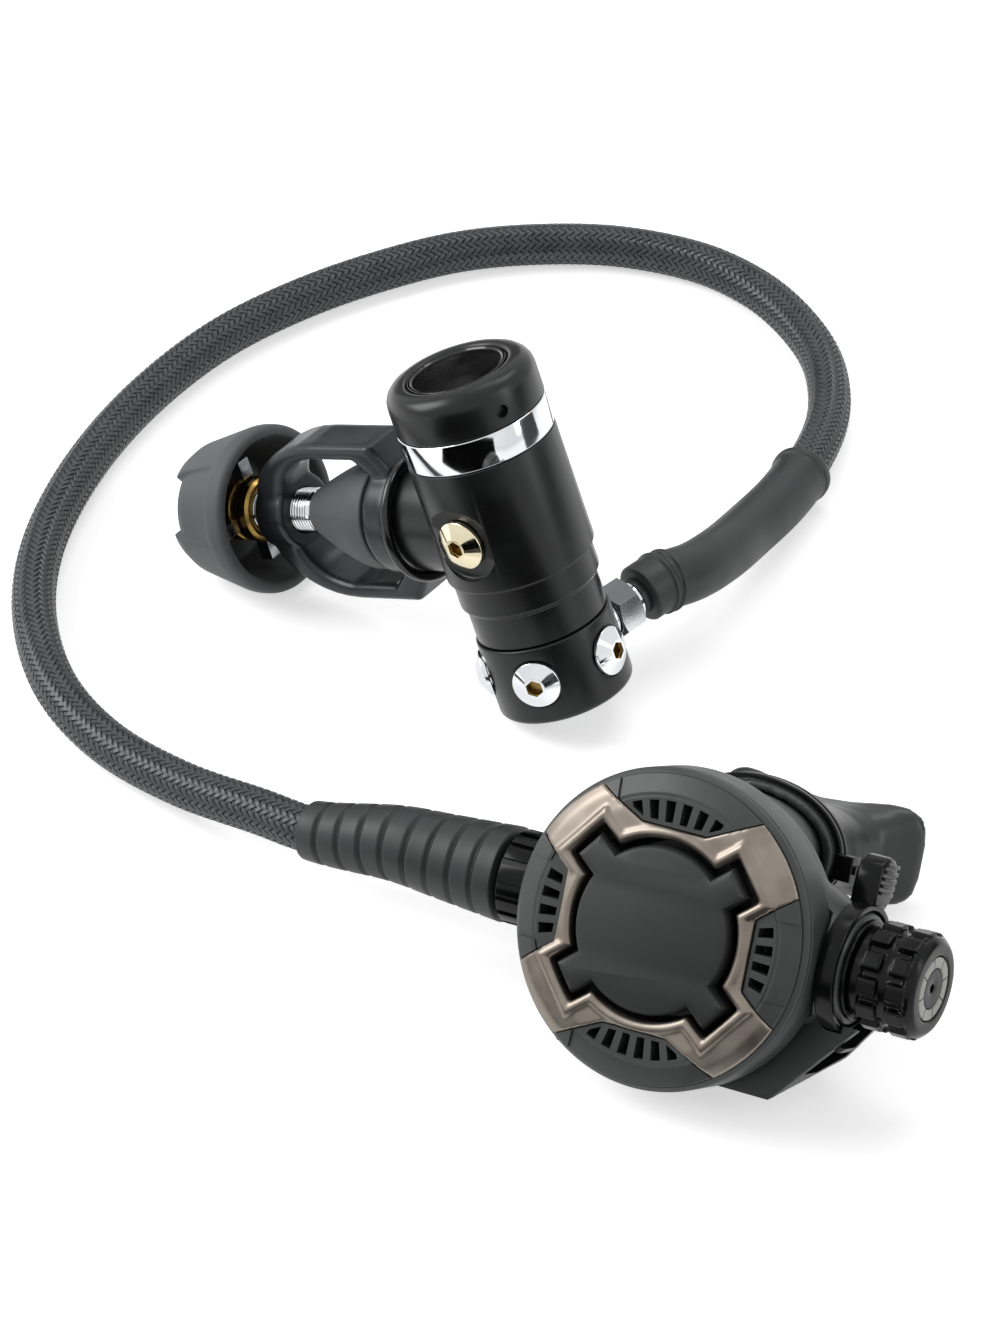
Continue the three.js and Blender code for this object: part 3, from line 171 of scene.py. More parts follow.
def finish(name, colours, roughness, metallic=0.0, grain=0.3, depth=0.01, patch=14, sockets=None):
    """A material of two hex colours and two roughnesses. Grain, depth and patch are in mm."""
    material = bpy.data.materials.new(name)
    tree = fresh_tree(material)
    where = node(tree, "ShaderNodeTexCoord").outputs["Object"]
    drift = node(tree, "ShaderNodeTexNoise", {"Vector": where, "Scale": 1 / (patch * MM), "Detail": 3.0})
    level = node(tree, "ShaderNodeMapRange", {
        "Value": drift, **DRIFT_BAND, "To Min": roughness[0], "To Max": roughness[1]})
    share = node(tree, "ShaderNodeMapRange", {"Value": drift, **DRIFT_BAND})
    colour = node(tree, "ShaderNodeMix", {
        "Factor": share, 6: linear(colours[0]), 7: linear(colours[1])}, data_type="RGBA")
    fine = node(tree, "ShaderNodeTexNoise", {"Vector": where, "Scale": 1 / (grain * MM), "Detail": 2.0})
    bump = node(tree, "ShaderNodeBump", {"Height": fine, "Strength": 1.0, "Distance": depth * MM})
    shader = node(tree, "ShaderNodeBsdfPrincipled", {
        "Base Color": colour.outputs[2], "Roughness": level, "Metallic": metallic,
        "Normal": bump, **(sockets or {})}, name="surface")
    node(tree, "ShaderNodeOutputMaterial", {"Surface": shader})
    return material


print("each finish drifts inside", tuple(DRIFT_BAND.values()), "of its noise")

# %% The finishes of this set
# Anodised brass body, fine-blasted first: a satin black that keeps a broad soft highlight.
black_anodised = finish("black_anodised_satin", ("#111213", "#181a1b"), (0.26, 0.34), 0.3, 0.12, 0.004)
# Polished chrome plate: a mirror, only dulled a little where it was handled.
chrome = finish("polished_chrome_plate", ("#e6e8ea", "#d6d9dc"), (0.05, 0.1), 1.0, 0.5, 0.001)
# Chrome plate over brass at the high-pressure ports: the same mirror with a straw tint.
warm_chrome = finish("straw_tinted_chrome_plate", ("#e6dcc0", "#d9cda9"), (0.08, 0.14), 1.0, 0.4, 0.001)
# Machined brass, its gloss dulled by salt water. Its warm colour is painted darker as shade for the hub
# deep in the knob's hollow.
brass = finish("machined_brass", ("#9c8046", "#7c6437"), (0.24, 0.38), 1.0, 0.2, 0.004, 4)
# Drawn stainless steel of the springs, the knob's spokes and the small steel parts.
spring_steel = finish("drawn_spring_steel", ("#a3a6aa", "#8b8e92"), (0.2, 0.3), 1.0, 0.1, 0.003, 5)
# Physical vapour coat over a forged yoke: dark grey, partly metallic, its forging a little uneven.
yoke_coat = finish("dark_satin_coat_on_forging", ("#222527", "#2c2f32"), (0.26, 0.36), 0.4, 0.5, 0.012)
# Moulded rubber of the knob's cover and the dust cap: matt, with a very fine grain.
grey_rubber = finish("moulded_grey_rubber", ("#47494a", "#525455"), (0.56, 0.68), 0.0, 0.16, 0.014)
# Natural black rubber of the hose's tube, sleeve and grip, and of the first stage's seals.
black_rubber = finish("moulded_black_rubber", ("#17191a", "#212324"), (0.42, 0.56), 0.0, 0.3, 0.02)
# Polyurethane of the tether ring and the cap's domed disc: smooth and glossy.
gloss_black = finish("glossy_polyurethane", ("#0b0b0c", "#131314"), (0.1, 0.2), 0.0, 0.8, 0.004)
# Glass-filled nylon of the front cover and ring, eroded in the mould to a fine texture.
cover_nylon = finish("glass_filled_nylon_grey", ("#2f3231", "#393c3b"), (0.4, 0.52), 0.0, 0.22, 0.012)
# The same nylon in a darker mix for the case and the exhaust cover.
case_nylon = finish("glass_filled_nylon_dark", ("#1e2021", "#282a2b"), (0.34, 0.46), 0.0, 0.25, 0.012)
# Overmoulded elastomer of the purge button.
soft_black = finish("thermoplastic_elastomer_black", ("#141616", "#1c1e1e"), (0.48, 0.62), 0.0, 0.2,
                    0.014)
# Black acetal of the inlet nut, the adjustment knob, the venturi lever and the tie. A low specular
# level keeps it black in a white room.
acetal = finish("black_acetal", ("#070808", "#0d0e0e"), (0.16, 0.28), 0.0, 0.3, 0.005,
                sockets={"Specular IOR Level": 0.18})
# Medical silicone of the mouthpiece and the second stage's membranes: a soft sheen, slightly cloudy.
silicone = finish("dark_silicone", ("#222424", "#2c2e2e"), (0.34, 0.46), 0.0, 0.6, 0.012, 18)
# Vacuum metallised trim over plastic: a brown gunmetal with a satin lacquer.
gunmetal = finish("gunmetal_plated_trim", ("#7d746b", "#8e867d"), (0.33, 0.43), 0.9, 0.1, 0.004, 9)
# Ivory polymer of the valve seats and the venturi vane.
seat_polymer = finish("seat_polymer", ("#d6cdbd", "#c8bfae"), (0.4, 0.55), 0.0, 0.4, 0.006)
# Light grey polymer of the segmented ring on the adjustment knob.
seat_grey = finish("light_grey_polymer", ("#a9aaa4", "#95968f"), (0.4, 0.5), 0.0, 0.4, 0.006)
# Sintered bronze of the inlet filter: a coarse, grainy metal.
sintered_bronze = finish("sintered_bronze", ("#8a6a3c", "#6e5230"), (0.5, 0.7), 0.9, 0.25, 0.08, 2)
print(len(bpy.data.materials), "materials so far")

# %% [markdown]
# ## The hose's path
# The hose is one smooth line from the fitting on the turret to the ferrule at the second stage. It
# leaves and enters straight, so each end has points on the axis of what it is pressed into. The line
# through the points is a centripetal Catmull-Rom spline, which never overshoots at uneven spacing.

# %% Path of the hose
HOSE_ROUTE = [  # mm, read along the hose as it lies on the table
    (42.2, 79.6, 18.8), (50.6, 92.2, 15.3), (58.6, 107.1, 12), (69.3, 126.5, 9.4), (77.6, 145.5, 8.4),
    (83.4, 166.1, 7.2), (84.5, 185.7, 6.4), (82, 202.3, 6.3), (73.4, 222.4, 6.3), (63.4, 236.2, 6.3),
    (48.8, 248, 6.3), (25.6, 256.4, 6.3), (1.7, 257.6, 6.3), (-22, 253.8, 6.3), (-45.7, 243.4, 6.3),
    (-69, 228.7, 6.3), (-91.9, 208.2, 6.3), (-113.7, 176.9, 6.3), (-129.5, 141, 6.3),
    (-137.9, 104.8, 6.3), (-137.8, 74.6, 6.3), (-129.9, 44, 6.3), (-115.7, 20.9, 6.6),
    (-94.8, -0.5, 9.5), (-73.1, -18.4, 14.6), (-58, -30.3, 17.7)]
HOSE_RADIUS = 6.15
PORT_ANGLES = [41 + 72 * i for i in range(5)]  # the turret's five ports, in degrees
HOSE_PORT = 3
PORT_HEIGHT = -41.5
PORT_SEAT = 18.2  # distance of a plug's seat from the turret's axis
FITTING_END = 11
FERRULE_END = -60.6
SPAN_STEPS = 12  # steps of the line between two given points


def port_point(out):
    """A point of the hose's port, out from the plug's seat, in the row frame."""
    angle = math.radians(PORT_ANGLES[HOSE_PORT])
    reach = PORT_SEAT + out
    return FIRST @ Vector((reach * math.cos(angle), reach * math.sin(angle), PORT_HEIGHT))


def through(points, per_span):
    """Points of a centripetal Catmull-Rom spline through the given ones."""
    ends = [points[0] * 2 - points[1], *points, points[-1] * 2 - points[-2]]
    line = []
    for p0, p1, p2, p3 in zip(ends, ends[1:], ends[2:], ends[3:]):
        d0, d1, d2 = [math.sqrt((b - a).length) for a, b in ((p0, p1), (p1, p2), (p2, p3))]
        m1 = ((p1 - p0) / d0 - (p2 - p0) / (d0 + d1) + (p2 - p1) / d1) * d1
        m2 = ((p2 - p1) / d1 - (p3 - p1) / (d1 + d2) + (p3 - p2) / d2) * d1
        for step in range(per_span):
            t = step / per_span
            line.append(p1 * (2 * t ** 3 - 3 * t ** 2 + 1) + m1 * (t ** 3 - 2 * t ** 2 + t)
                        + p2 * (3 * t ** 2 - 2 * t ** 3) + m2 * (t ** 3 - t ** 2))
    return line + [points[-1]]


hose_points = [port_point(FITTING_END + out) for out in (0.3, 9)]
hose_points += [Vector(point) * MM for point in HOSE_ROUTE]
hose_points += [BARREL @ Vector((0, 0, FERRULE_END - back)) for back in (26, 12, 0.3)]
hose_line = through(hose_points, SPAN_STEPS)
hose_length = sum((b - a).length for a, b in zip(hose_line, hose_line[1:]))
print("hose length", round(hose_length / MM, 1), "mm")

# %% [markdown]
# ## Curves and Geometry Nodes modifiers
# A path is stored as a curve with one spline. A node tree gets named inputs for its sizes, and a
# modifier's inputs are set by the identifier of each socket before anything is evaluated. Then the
# result is taken as a plain mesh, which leaves no modifier behind.

# %% Helpers for paths and node modifiers
def curve_of(name, points, radii=None):
    """A curve object of one open spline, with a radius at each point."""
    data = bpy.data.curves.new(name, "CURVE")
    data.dimensions = "3D"
    spline = data.splines.new("POLY")
    spline.points.add(len(points) - 1)
    for i, point in enumerate(points):
        spline.points[i].co = (*point, 1)
        spline.points[i].radius = radii[i] if radii else 1
    return linked(name, data)


def new_tree(name, sizes):
    """A Geometry Nodes tree with a geometry going in and out, and named sizes."""
    tree = bpy.data.node_groups.new(name, "GeometryNodeTree")
    tree.interface.new_socket("Geometry", in_out="INPUT", socket_type="NodeSocketGeometry")
    for size, kind in sizes.items():
        tree.interface.new_socket(size, in_out="INPUT", socket_type="NodeSocket" + kind)
    tree.interface.new_socket("Geometry", in_out="OUTPUT", socket_type="NodeSocketGeometry")
    return tree, node(tree, "NodeGroupInput").outputs


def close_tree(tree, geometry, material):
    """Ends a tree: instances become real geometry with one material."""
    real = node(tree, "GeometryNodeRealizeInstances", {0: geometry})
    dressed = node(tree, "GeometryNodeSetMaterial", {"Geometry": real, "Material": material})
    node(tree, "NodeGroupOutput", {0: dressed})


def drop(thing):
    """Deletes a helper object and its data."""
    data = thing.data
    bpy.data.objects.remove(thing)
    (bpy.data.meshes if isinstance(data, bpy.types.Mesh) else bpy.data.curves).remove(data)


def flattened(made):
    """Replaces an object that has modifiers, or a curve, by its plain mesh."""
    depsgraph = bpy.context.evaluated_depsgraph_get()
    mesh = bpy.data.meshes.new_from_object(made.evaluated_get(depsgraph), depsgraph=depsgraph)
    name = made.name
    drop(made)
    return linked(name, mesh)


def grown(name, source, tree, **sizes):
    """Runs a tree on an object, keeps the result as a plain mesh object and deletes the source."""
    modifier = source.modifiers.new(name, "NODES")
    modifier.node_group = tree
    for item in tree.interface.items_tree:
        key = item.name.lower().replace(" ", "_")
        if key in sizes:
            modifier[item.identifier] = sizes[key]
    made = flattened(source)
    made.name = name
    return made


print("the hose's path has", len(hose_line), "points")

# %% [markdown]
# ## The braid
# A braided hose is a rubber tube inside a jacket of flat yarns. Twenty yarns run round it each way,
# and each goes over two of the others and under two, which shows as rows of little herringbones.
# Measured on the photograph, the rows are 1.9 mm wide and a yarn comes back to its row every 2.4 mm,
# so one turn takes 20 times that. In the tree, a straight line is copied once for each yarn, wound
# round the path by its distance along it, and lifted or sunk by a wave of its angle. The wave
# depends on the angle alone, so both windings agree on who passes above. The yarn's flat profile
# is swept along with the outward direction as the curve's normal.

# %% A tree that winds flat yarns round a path
BRAID_YARNS = 20
BRAID_LEAD = 47.6
YARN_CORNERS = ((-0.5, -0.5), (0.5, -0.33), (0.5, 0.33), (-0.5, 0.5))  # shares of thickness and width
STEEPNESS = 1.5  # the wave of crossings is made this much steeper, then cut flat
TURN = 2 * math.pi
braid_tree, size = new_tree("wind_yarns", {
    "Yarns": "Int", "Hand": "Float", "Lead": "Float", "Radius": "Float", "Wave": "Float",
    "Width": "Float", "Thickness": "Float", "From": "Float", "To": "Float", "Samples": "Int",
    "Finish": "Material"})
straight = node(braid_tree, "GeometryNodeCurvePrimitiveLine")
resampled = node(braid_tree, "GeometryNodeResampleCurve", {"Curve": straight, "Count": size["Samples"]})
yarns = node(braid_tree, "GeometryNodeDuplicateElements", {
    "Geometry": resampled, "Amount": size["Yarns"]}, domain="SPLINE")
share = node(braid_tree, "GeometryNodeSplineParameter").outputs["Factor"]
span = node(braid_tree, "ShaderNodeMath", {0: size["To"], 1: size["From"]}, operation="SUBTRACT")
gone = node(braid_tree, "ShaderNodeMath", {0: share, 1: span}, operation="MULTIPLY")
distance = node(braid_tree, "ShaderNodeMath", {0: size["From"], 1: gone}, operation="ADD")
sample = node(braid_tree, "GeometryNodeSampleCurve", {
    "Curves": size["Geometry"], "Length": distance}, mode="LENGTH").outputs
print("yarns along the path:", len(braid_tree.nodes), "nodes")

# %% The angle of each yarn round the path, and the way it faces
own_turn = node(braid_tree, "ShaderNodeMath", {0: yarns.outputs["Duplicate Index"], 1: size["Yarns"]},
                operation="DIVIDE")
leads = node(braid_tree, "ShaderNodeMath", {0: distance, 1: size["Lead"]}, operation="DIVIDE")
handed = node(braid_tree, "ShaderNodeMath", {0: size["Hand"], 1: leads}, operation="MULTIPLY")
turns = node(braid_tree, "ShaderNodeMath", {0: own_turn, 1: handed}, operation="ADD")
angle = node(braid_tree, "ShaderNodeMath", {0: turns, 1: TURN}, operation="MULTIPLY")
cosine = node(braid_tree, "ShaderNodeMath", {0: angle}, operation="COSINE")
sine = node(braid_tree, "ShaderNodeMath", {0: angle}, operation="SINE")
sideways = node(braid_tree, "ShaderNodeVectorMath", {0: sample["Tangent"], 1: sample["Normal"]},
                operation="CROSS_PRODUCT")
up_part = node(braid_tree, "ShaderNodeVectorMath", {0: sample["Normal"], "Scale": cosine},
               operation="SCALE")
side_part = node(braid_tree, "ShaderNodeVectorMath", {0: sideways, "Scale": sine}, operation="SCALE")
outward = node(braid_tree, "ShaderNodeVectorMath", {0: up_part, 1: side_part}, operation="ADD")
print("with their angle round it:", len(braid_tree.nodes), "nodes")

# %% The wave that lifts a yarn over two others and sinks it under two
waves = node(braid_tree, "ShaderNodeMath", {0: size["Yarns"], 1: 0.5}, operation="MULTIPLY")
phase = node(braid_tree, "ShaderNodeMath", {0: angle, 1: waves}, operation="MULTIPLY")
shifted = node(braid_tree, "ShaderNodeMath", {0: phase, 1: TURN / 8}, operation="SUBTRACT")
crossing = node(braid_tree, "ShaderNodeMath", {0: shifted}, operation="COSINE")
steep = node(braid_tree, "ShaderNodeMath", {0: crossing, 1: STEEPNESS}, operation="MULTIPLY")
over = node(braid_tree, "ShaderNodeClamp", {0: steep, "Min": -1.0, "Max": 1.0})
handed_wave = node(braid_tree, "ShaderNodeMath", {0: size["Hand"], 1: size["Wave"]}, operation="MULTIPLY")
lift = node(braid_tree, "ShaderNodeMath", {0: over, 1: handed_wave}, operation="MULTIPLY")
reach = node(braid_tree, "ShaderNodeMath", {0: size["Radius"], 1: lift}, operation="ADD")
offset = node(braid_tree, "ShaderNodeVectorMath", {0: outward, "Scale": reach}, operation="SCALE")
place = node(braid_tree, "ShaderNodeVectorMath", {0: sample["Position"], 1: offset}, operation="ADD")
print("with the wave that weaves them:", len(braid_tree.nodes), "nodes")

# %% The yarn's flat profile, swept along its wound line
marked = node(braid_tree, "GeometryNodeStoreNamedAttribute", {
    "Geometry": yarns, "Name": "along", "Value": distance}, data_type="FLOAT", domain="POINT")
facing = node(braid_tree, "GeometryNodeSetCurveNormal", {"Curve": marked, "Normal": outward}, mode="FREE")
wound = node(braid_tree, "GeometryNodeSetPosition", {"Geometry": facing, "Position": place})
profile = node(braid_tree, "GeometryNodeCurvePrimitiveQuadrilateral", mode="POINTS")
for corner, (rise, side) in enumerate(YARN_CORNERS, 1):
    thick = node(braid_tree, "ShaderNodeMath", {0: size["Thickness"], 1: rise}, operation="MULTIPLY")
    wide = node(braid_tree, "ShaderNodeMath", {0: size["Width"], 1: side}, operation="MULTIPLY")
    spot = node(braid_tree, "ShaderNodeCombineXYZ", {"X": thick, "Y": wide})
    braid_tree.links.new(spot.outputs[0], profile.inputs["Point " + str(corner)])
profile_at = node(braid_tree, "GeometryNodeInputPosition")
side_of = node(braid_tree, "ShaderNodeSeparateXYZ", {0: profile_at})
section = node(braid_tree, "GeometryNodeStoreNamedAttribute", {
    "Geometry": profile, "Name": "across", "Value": side_of.outputs["Y"]},
    data_type="FLOAT", domain="POINT")
swept = node(braid_tree, "GeometryNodeCurveToMesh", {
    "Curve": wound, "Profile Curve": section, "Fill Caps": True})
close_tree(braid_tree, swept, size["Finish"])
print("braid tree:", len(braid_tree.nodes), "nodes")

# %% [markdown]
# ## Finish of the yarns
# The yarns are bundles of polyester filament, dark charcoal and shiny. Filaments run along each
# yarn, so their noise is stretched: fine across the yarn and long along it. The tree stored both
# directions as attributes. A filament is far too thin to show, so the lines are drawn 0.12 mm apart.

# %% Yarn finish from the along and across attributes
FILAMENT = 0.12 * MM
FILAMENT_RUN = 2.5 * MM
FILAMENT_RELIEF = 0.03 * MM
braid_finish = finish("braided_polyester_yarn", ("#2b2d2f", "#3a3c3e"), (0.3, 0.42), 0.0, 0.3, 0.01, 6)
yarn_nodes = braid_finish.node_tree
across_yarn = node(yarn_nodes, "ShaderNodeAttribute", attribute_name="across").outputs["Fac"]
along_yarn = node(yarn_nodes, "ShaderNodeAttribute", attribute_name="along").outputs["Fac"]
lines = node(yarn_nodes, "ShaderNodeMath", {0: across_yarn, 1: FILAMENT}, operation="DIVIDE")
runs = node(yarn_nodes, "ShaderNodeMath", {0: along_yarn, 1: FILAMENT_RUN}, operation="DIVIDE")
stretched = node(yarn_nodes, "ShaderNodeCombineXYZ", {"X": lines, "Y": runs})
filaments = node(yarn_nodes, "ShaderNodeTexNoise", {"Vector": stretched, "Scale": 1.0, "Detail": 2.0})
filament_bump = node(yarn_nodes, "ShaderNodeBump", {
    "Height": filaments, "Strength": 1.0, "Distance": FILAMENT_RELIEF})
yarn_nodes.links.new(filament_bump.outputs[0], yarn_nodes.nodes["surface"].inputs["Normal"])
print("yarn finish reads", FILAMENT / MM, "mm filaments")

# %% [markdown]
# ## Placing finished pieces
# Every piece ends the same way: its mesh moves to its place in the row frame, it gets its finish and
# smooth shading with real edges kept sharp, it rides on its body, and it stands for its solids.

# %% Finish, shade and place a piece
ROOT = "turret_hose_and_second_stage"


def piece(made, name, material, body, *nodes, at=None, slot=None, sharp=38):
    """Turns a made object into a placed piece of the part."""
    if at is not None:
        made.data.transform(at)
    made.name = made.data.name = name
    made.data.materials.clear()
    made.data.materials.append(material)
    made.data.shade_smooth()
    made.data.set_sharp_from_angle(angle=math.radians(sharp))
    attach(made, body)
    if nodes:
        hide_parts(*nodes)
    made.data.calc_loop_triangles()
    print(name, len(made.data.loop_triangles), "triangles")
    return made


def outward_faces(made, merge=0.01 * MM):
    """Merges doubles and turns the faces of closed shells outwards."""
    mesh = bmesh.new()
    mesh.from_mesh(made.data)
    bmesh.ops.remove_doubles(mesh, verts=mesh.verts, dist=merge)
    bmesh.ops.recalc_face_normals(mesh, faces=mesh.faces)
    mesh.to_mesh(made.data)
    mesh.free()
    return made


print("a piece that doesn't move rides on", ROOT)

# %% [markdown]
# ## Tube, sleeve and grip
# The tube under the braid, the rubber sleeve over the hose's start and the ribbed grip at its end
# are round sections swept along the same path. One tree does all three: the path's own radius gives
# the outline, and an optional row of grooves cuts it into bands, as on the grip.

# %% A tree that sweeps a round section with grooves
sweep_tree, size = new_tree("sweep_rubber", {
    "Step": "Float", "Sides": "Int", "Bands": "Float", "Groove": "Float", "Groove Width": "Float",
    "Finish": "Material"})
spaced = node(sweep_tree, "GeometryNodeResampleCurve", {
    "Curve": size["Geometry"], "Length": size["Step"]}, mode="LENGTH")
run = node(sweep_tree, "GeometryNodeSplineParameter").outputs["Factor"]
whole = node(sweep_tree, "GeometryNodeSplineLength").outputs["Length"]
in_bands = node(sweep_tree, "ShaderNodeMath", {0: run, 1: size["Bands"]}, operation="MULTIPLY")
band_share = node(sweep_tree, "ShaderNodeMath", {0: in_bands, 1: 0.5}, operation="PINGPONG")
band_length = node(sweep_tree, "ShaderNodeMath", {0: whole, 1: size["Bands"]}, operation="DIVIDE")
from_joint = node(sweep_tree, "ShaderNodeMath", {0: band_share, 1: band_length}, operation="MULTIPLY")
notch = node(sweep_tree, "ShaderNodeMapRange", {
    "Value": from_joint, "From Min": 0.0, "From Max": size["Groove Width"],
    "To Min": size["Groove"], "To Max": 0.0}, interpolation_type="SMOOTHSTEP")
own_radius = node(sweep_tree, "GeometryNodeInputRadius")
swollen = node(sweep_tree, "ShaderNodeMath", {0: own_radius, 1: notch}, operation="SUBTRACT")
circle = node(sweep_tree, "GeometryNodeCurvePrimitiveCircle", {"Resolution": size["Sides"], "Radius": 1.0})
tube = node(sweep_tree, "GeometryNodeCurveToMesh", {
    "Curve": spaced, "Profile Curve": circle, "Scale": swollen, "Fill Caps": True})
close_tree(sweep_tree, tube, size["Finish"])
print("sweep tree:", len(sweep_tree.nodes), "nodes")

# %% A stretch of the path, and the radii along it
def stretch(start, end, step=0.5):
    """Points of the hose's line between two distances in mm, past its ends as well."""
    line, gone = [], [0.0]
    for a, b in zip(hose_line, hose_line[1:]):
        gone.append(gone[-1] + (b - a).length / MM)
    count = max(2, round((end - start) / step))
    for i in range(count + 1):
        want = start + (end - start) * i / count
        k = min(max(sum(1 for g in gone if g <= want) - 1, 0), len(gone) - 2)
        t = (want - gone[k]) / (gone[k + 1] - gone[k])
        line.append(hose_line[k].lerp(hose_line[k + 1], t))
    return line


def swell(profile, start, end, count):
    """Radii at even distances from a list of (distance, radius) in mm, in metres."""
    radii = []
    for i in range(count):
        want = start + (end - start) * i / (count - 1)
        for (s0, r0), (s1, r1) in zip(profile, profile[1:]):
            if want <= s1 + 1e-6:
                radii.append((r0 + (r1 - r0) * max(want - s0, 0) / (s1 - s0)) * MM)
                break
    return radii


print("first 20 mm of the path:", len(stretch(0, 20)), "points")

# %% Sizes of the hose's pieces
SLEEVE = [(2, 6.6), (2.3, 7.7), (2.9, 8.25), (8.4, 8.3), (8.8, 8.9), (9.5, 8.9), (9.9, 8.2), (11.2, 8.2),
          (11.6, 8.9), (12.3, 8.9), (12.7, 8.15), (60, 8.0), (87, 8.0), (88.4, 8.2), (89, 8.65),
          (90.8, 8.65), (91.6, 8.2), (92, 7.2)]
GRIP_LENGTH = 62
GRIP_END = hose_length / MM + 8  # it covers the ferrule
GRIP_START = GRIP_END - GRIP_LENGTH
GRIP = [(GRIP_START, 7.0), (GRIP_START + 0.6, 7.9), (GRIP_END - 0.8, 12.6), (GRIP_END, 11.8)]
CORE_RADIUS = 5.35
CORE_STEP, CORE_SIDES = 1.5, 32  # mm between rings, and corners in each ring
RUBBER_STEP, RUBBER_SIDES = 0.25, 72  # the same for the sleeve and the grip
YARN_SAMPLES = 820  # points along each yarn
YARN_THICKNESS, YARN_WIDTH, YARN_WAVE = 0.46, 1.42, 0.24
BRAID_FROM, BRAID_TO = 86, GRIP_START + 3  # both ends are covered, by the sleeve and by the grip
WITHOUT_BANDS = {"bands": 1.0, "groove": 0.0, "groove_width": 1 * MM}
GRIP_BANDS = {"bands": 9.0, "groove": 0.85 * MM, "groove_width": 1.1 * MM}
print("the braid shows for", round(BRAID_TO - BRAID_FROM), "mm")

# %% Core of the hose and its braid
core_line = stretch(0, hose_length / MM, CORE_STEP)
core_path = curve_of("core_path", core_line, [CORE_RADIUS * MM] * len(core_line))
core = grown("hose_core", core_path, sweep_tree, step=CORE_STEP * MM, sides=CORE_SIDES,
             finish=black_rubber, **WITHOUT_BANDS)
piece(outward_faces(core), "hose_core", black_rubber, ROOT, "hose", slot="braid")

for hand, name in ((1.0, "braid_right_hand"), (-1.0, "braid_left_hand")):
    wound_yarns = grown(
        name, curve_of("braid_path", hose_line), braid_tree, yarns=BRAID_YARNS, hand=hand,
        lead=BRAID_LEAD * MM, radius=(HOSE_RADIUS - YARN_WAVE - YARN_THICKNESS / 2) * MM,
        wave=YARN_WAVE * MM, width=YARN_WIDTH * MM, thickness=YARN_THICKNESS * MM,
        samples=YARN_SAMPLES, finish=braid_finish,
        **{"from": BRAID_FROM * MM, "to": BRAID_TO * MM})
    piece(outward_faces(wound_yarns), name, braid_finish, ROOT, slot="braid", sharp=60)

# %% Sleeve, grip and the cord they belong to
def moulded_round_hose(name, profile, step, node_name, bands):
    """A rubber piece round the hose, from a list of (distance, radius) in mm."""
    start, end = profile[0][0], profile[-1][0]
    line = stretch(start, end, step)
    path = curve_of(name + "_path", line, swell(profile, start, end, len(line)))
    made = grown(name, path, sweep_tree, step=RUBBER_STEP * MM, sides=RUBBER_SIDES,
                 finish=black_rubber, **bands)
    return piece(outward_faces(made), name, black_rubber, ROOT, node_name, slot="rubber")


sleeve = moulded_round_hose("hose_sleeve_rubber", SLEEVE, 0.2, "hose_sleeve", WITHOUT_BANDS)
grip = moulded_round_hose("ribbed_grip", GRIP, 0.4, "hose_grip", GRIP_BANDS)

# %% [markdown]
# ## Shaping tools
# Most of the metal parts were turned on a lathe, so a profile of radius and height is spun about Z.
# A corner with a third number gets a fillet of that radius, because no real edge is perfectly sharp
# and the fillet is what catches the light. Moulded and milled plates start as a flat outline.
# Booleans then join and bore them, as the real cutters do.

# %% Fillets and closed meshes
MERGE = 0.0001  # mm, within which points are one


def rounded(profile, steps=5):
    """Replaces each corner that has a third number by an arc of that radius."""
    points = []
    for i, (r, z, *fillet) in enumerate(profile):
        here = Vector((r, z))
        if not fillet:
            points.append(here)
            continue
        before = (Vector(profile[i - 1][:2]) - here).normalized()
        after = (Vector(profile[(i + 1) % len(profile)][:2]) - here).normalized()
        half = before.angle(after) / 2
        reach = fillet[0] / math.tan(half)
        centre = here + (before + after).normalized() * fillet[0] / math.sin(half)
        first, last = here + before * reach - centre, here + after * reach - centre
        sweep = math.pi - 2 * half
        for k in range(steps + 1):
            t = k / steps
            points.append(centre + (first * math.sin((1 - t) * sweep) + last * math.sin(t * sweep))
                          / math.sin(sweep))
    return points


def solid_of(name, points, faces):
    """A mesh object in millimetres, closed, with its faces turned outwards."""
    mesh = bpy.data.meshes.new(name)
    mesh.from_pydata(points, [], faces)
    return outward_faces(linked(name, mesh), MERGE)


print("a fillet turns a corner into", len(rounded([(0, 0), (1, 0, 0.2), (1, 1)])) - 2, "points")

# %% Turned pieces
def rectangle(left, low, right, high):
    """Corners of an upright rectangle."""
    return [(left, low), (right, low), (right, high), (left, high)]


def turned(name, profile, sides=96):
    """A closed surface of revolution about Z from (radius, height, fillet) points."""
    points, rows = [], []
    for r, z in rounded(profile):
        corners = 1 if r < MERGE else sides
        rows.append([len(points) + j for j in range(corners)])
        points += [(r * math.cos(TURN * j / sides), r * math.sin(TURN * j / sides), z)
                   for j in range(corners)]
    if len(rows[0]) > 1 or len(rows[-1]) > 1:
        rows.append(rows[0])
    faces = []
    for low, high in zip(rows, rows[1:]):
        for j in range(sides):
            k = (j + 1) % sides
            around = (low[j % len(low)], low[k % len(low)], high[k % len(high)], high[j % len(high)])
            face = list(dict.fromkeys(around))  # at a pole two of the four are one
            if len(face) > 2:
                faces.append(face)
    return solid_of(name, points, faces)


def bar(radius, low, high, sides=96):
    """A plain round bar about Z, used to bore and to join."""
    return turned("bar", rectangle(0, low, radius, high), sides)


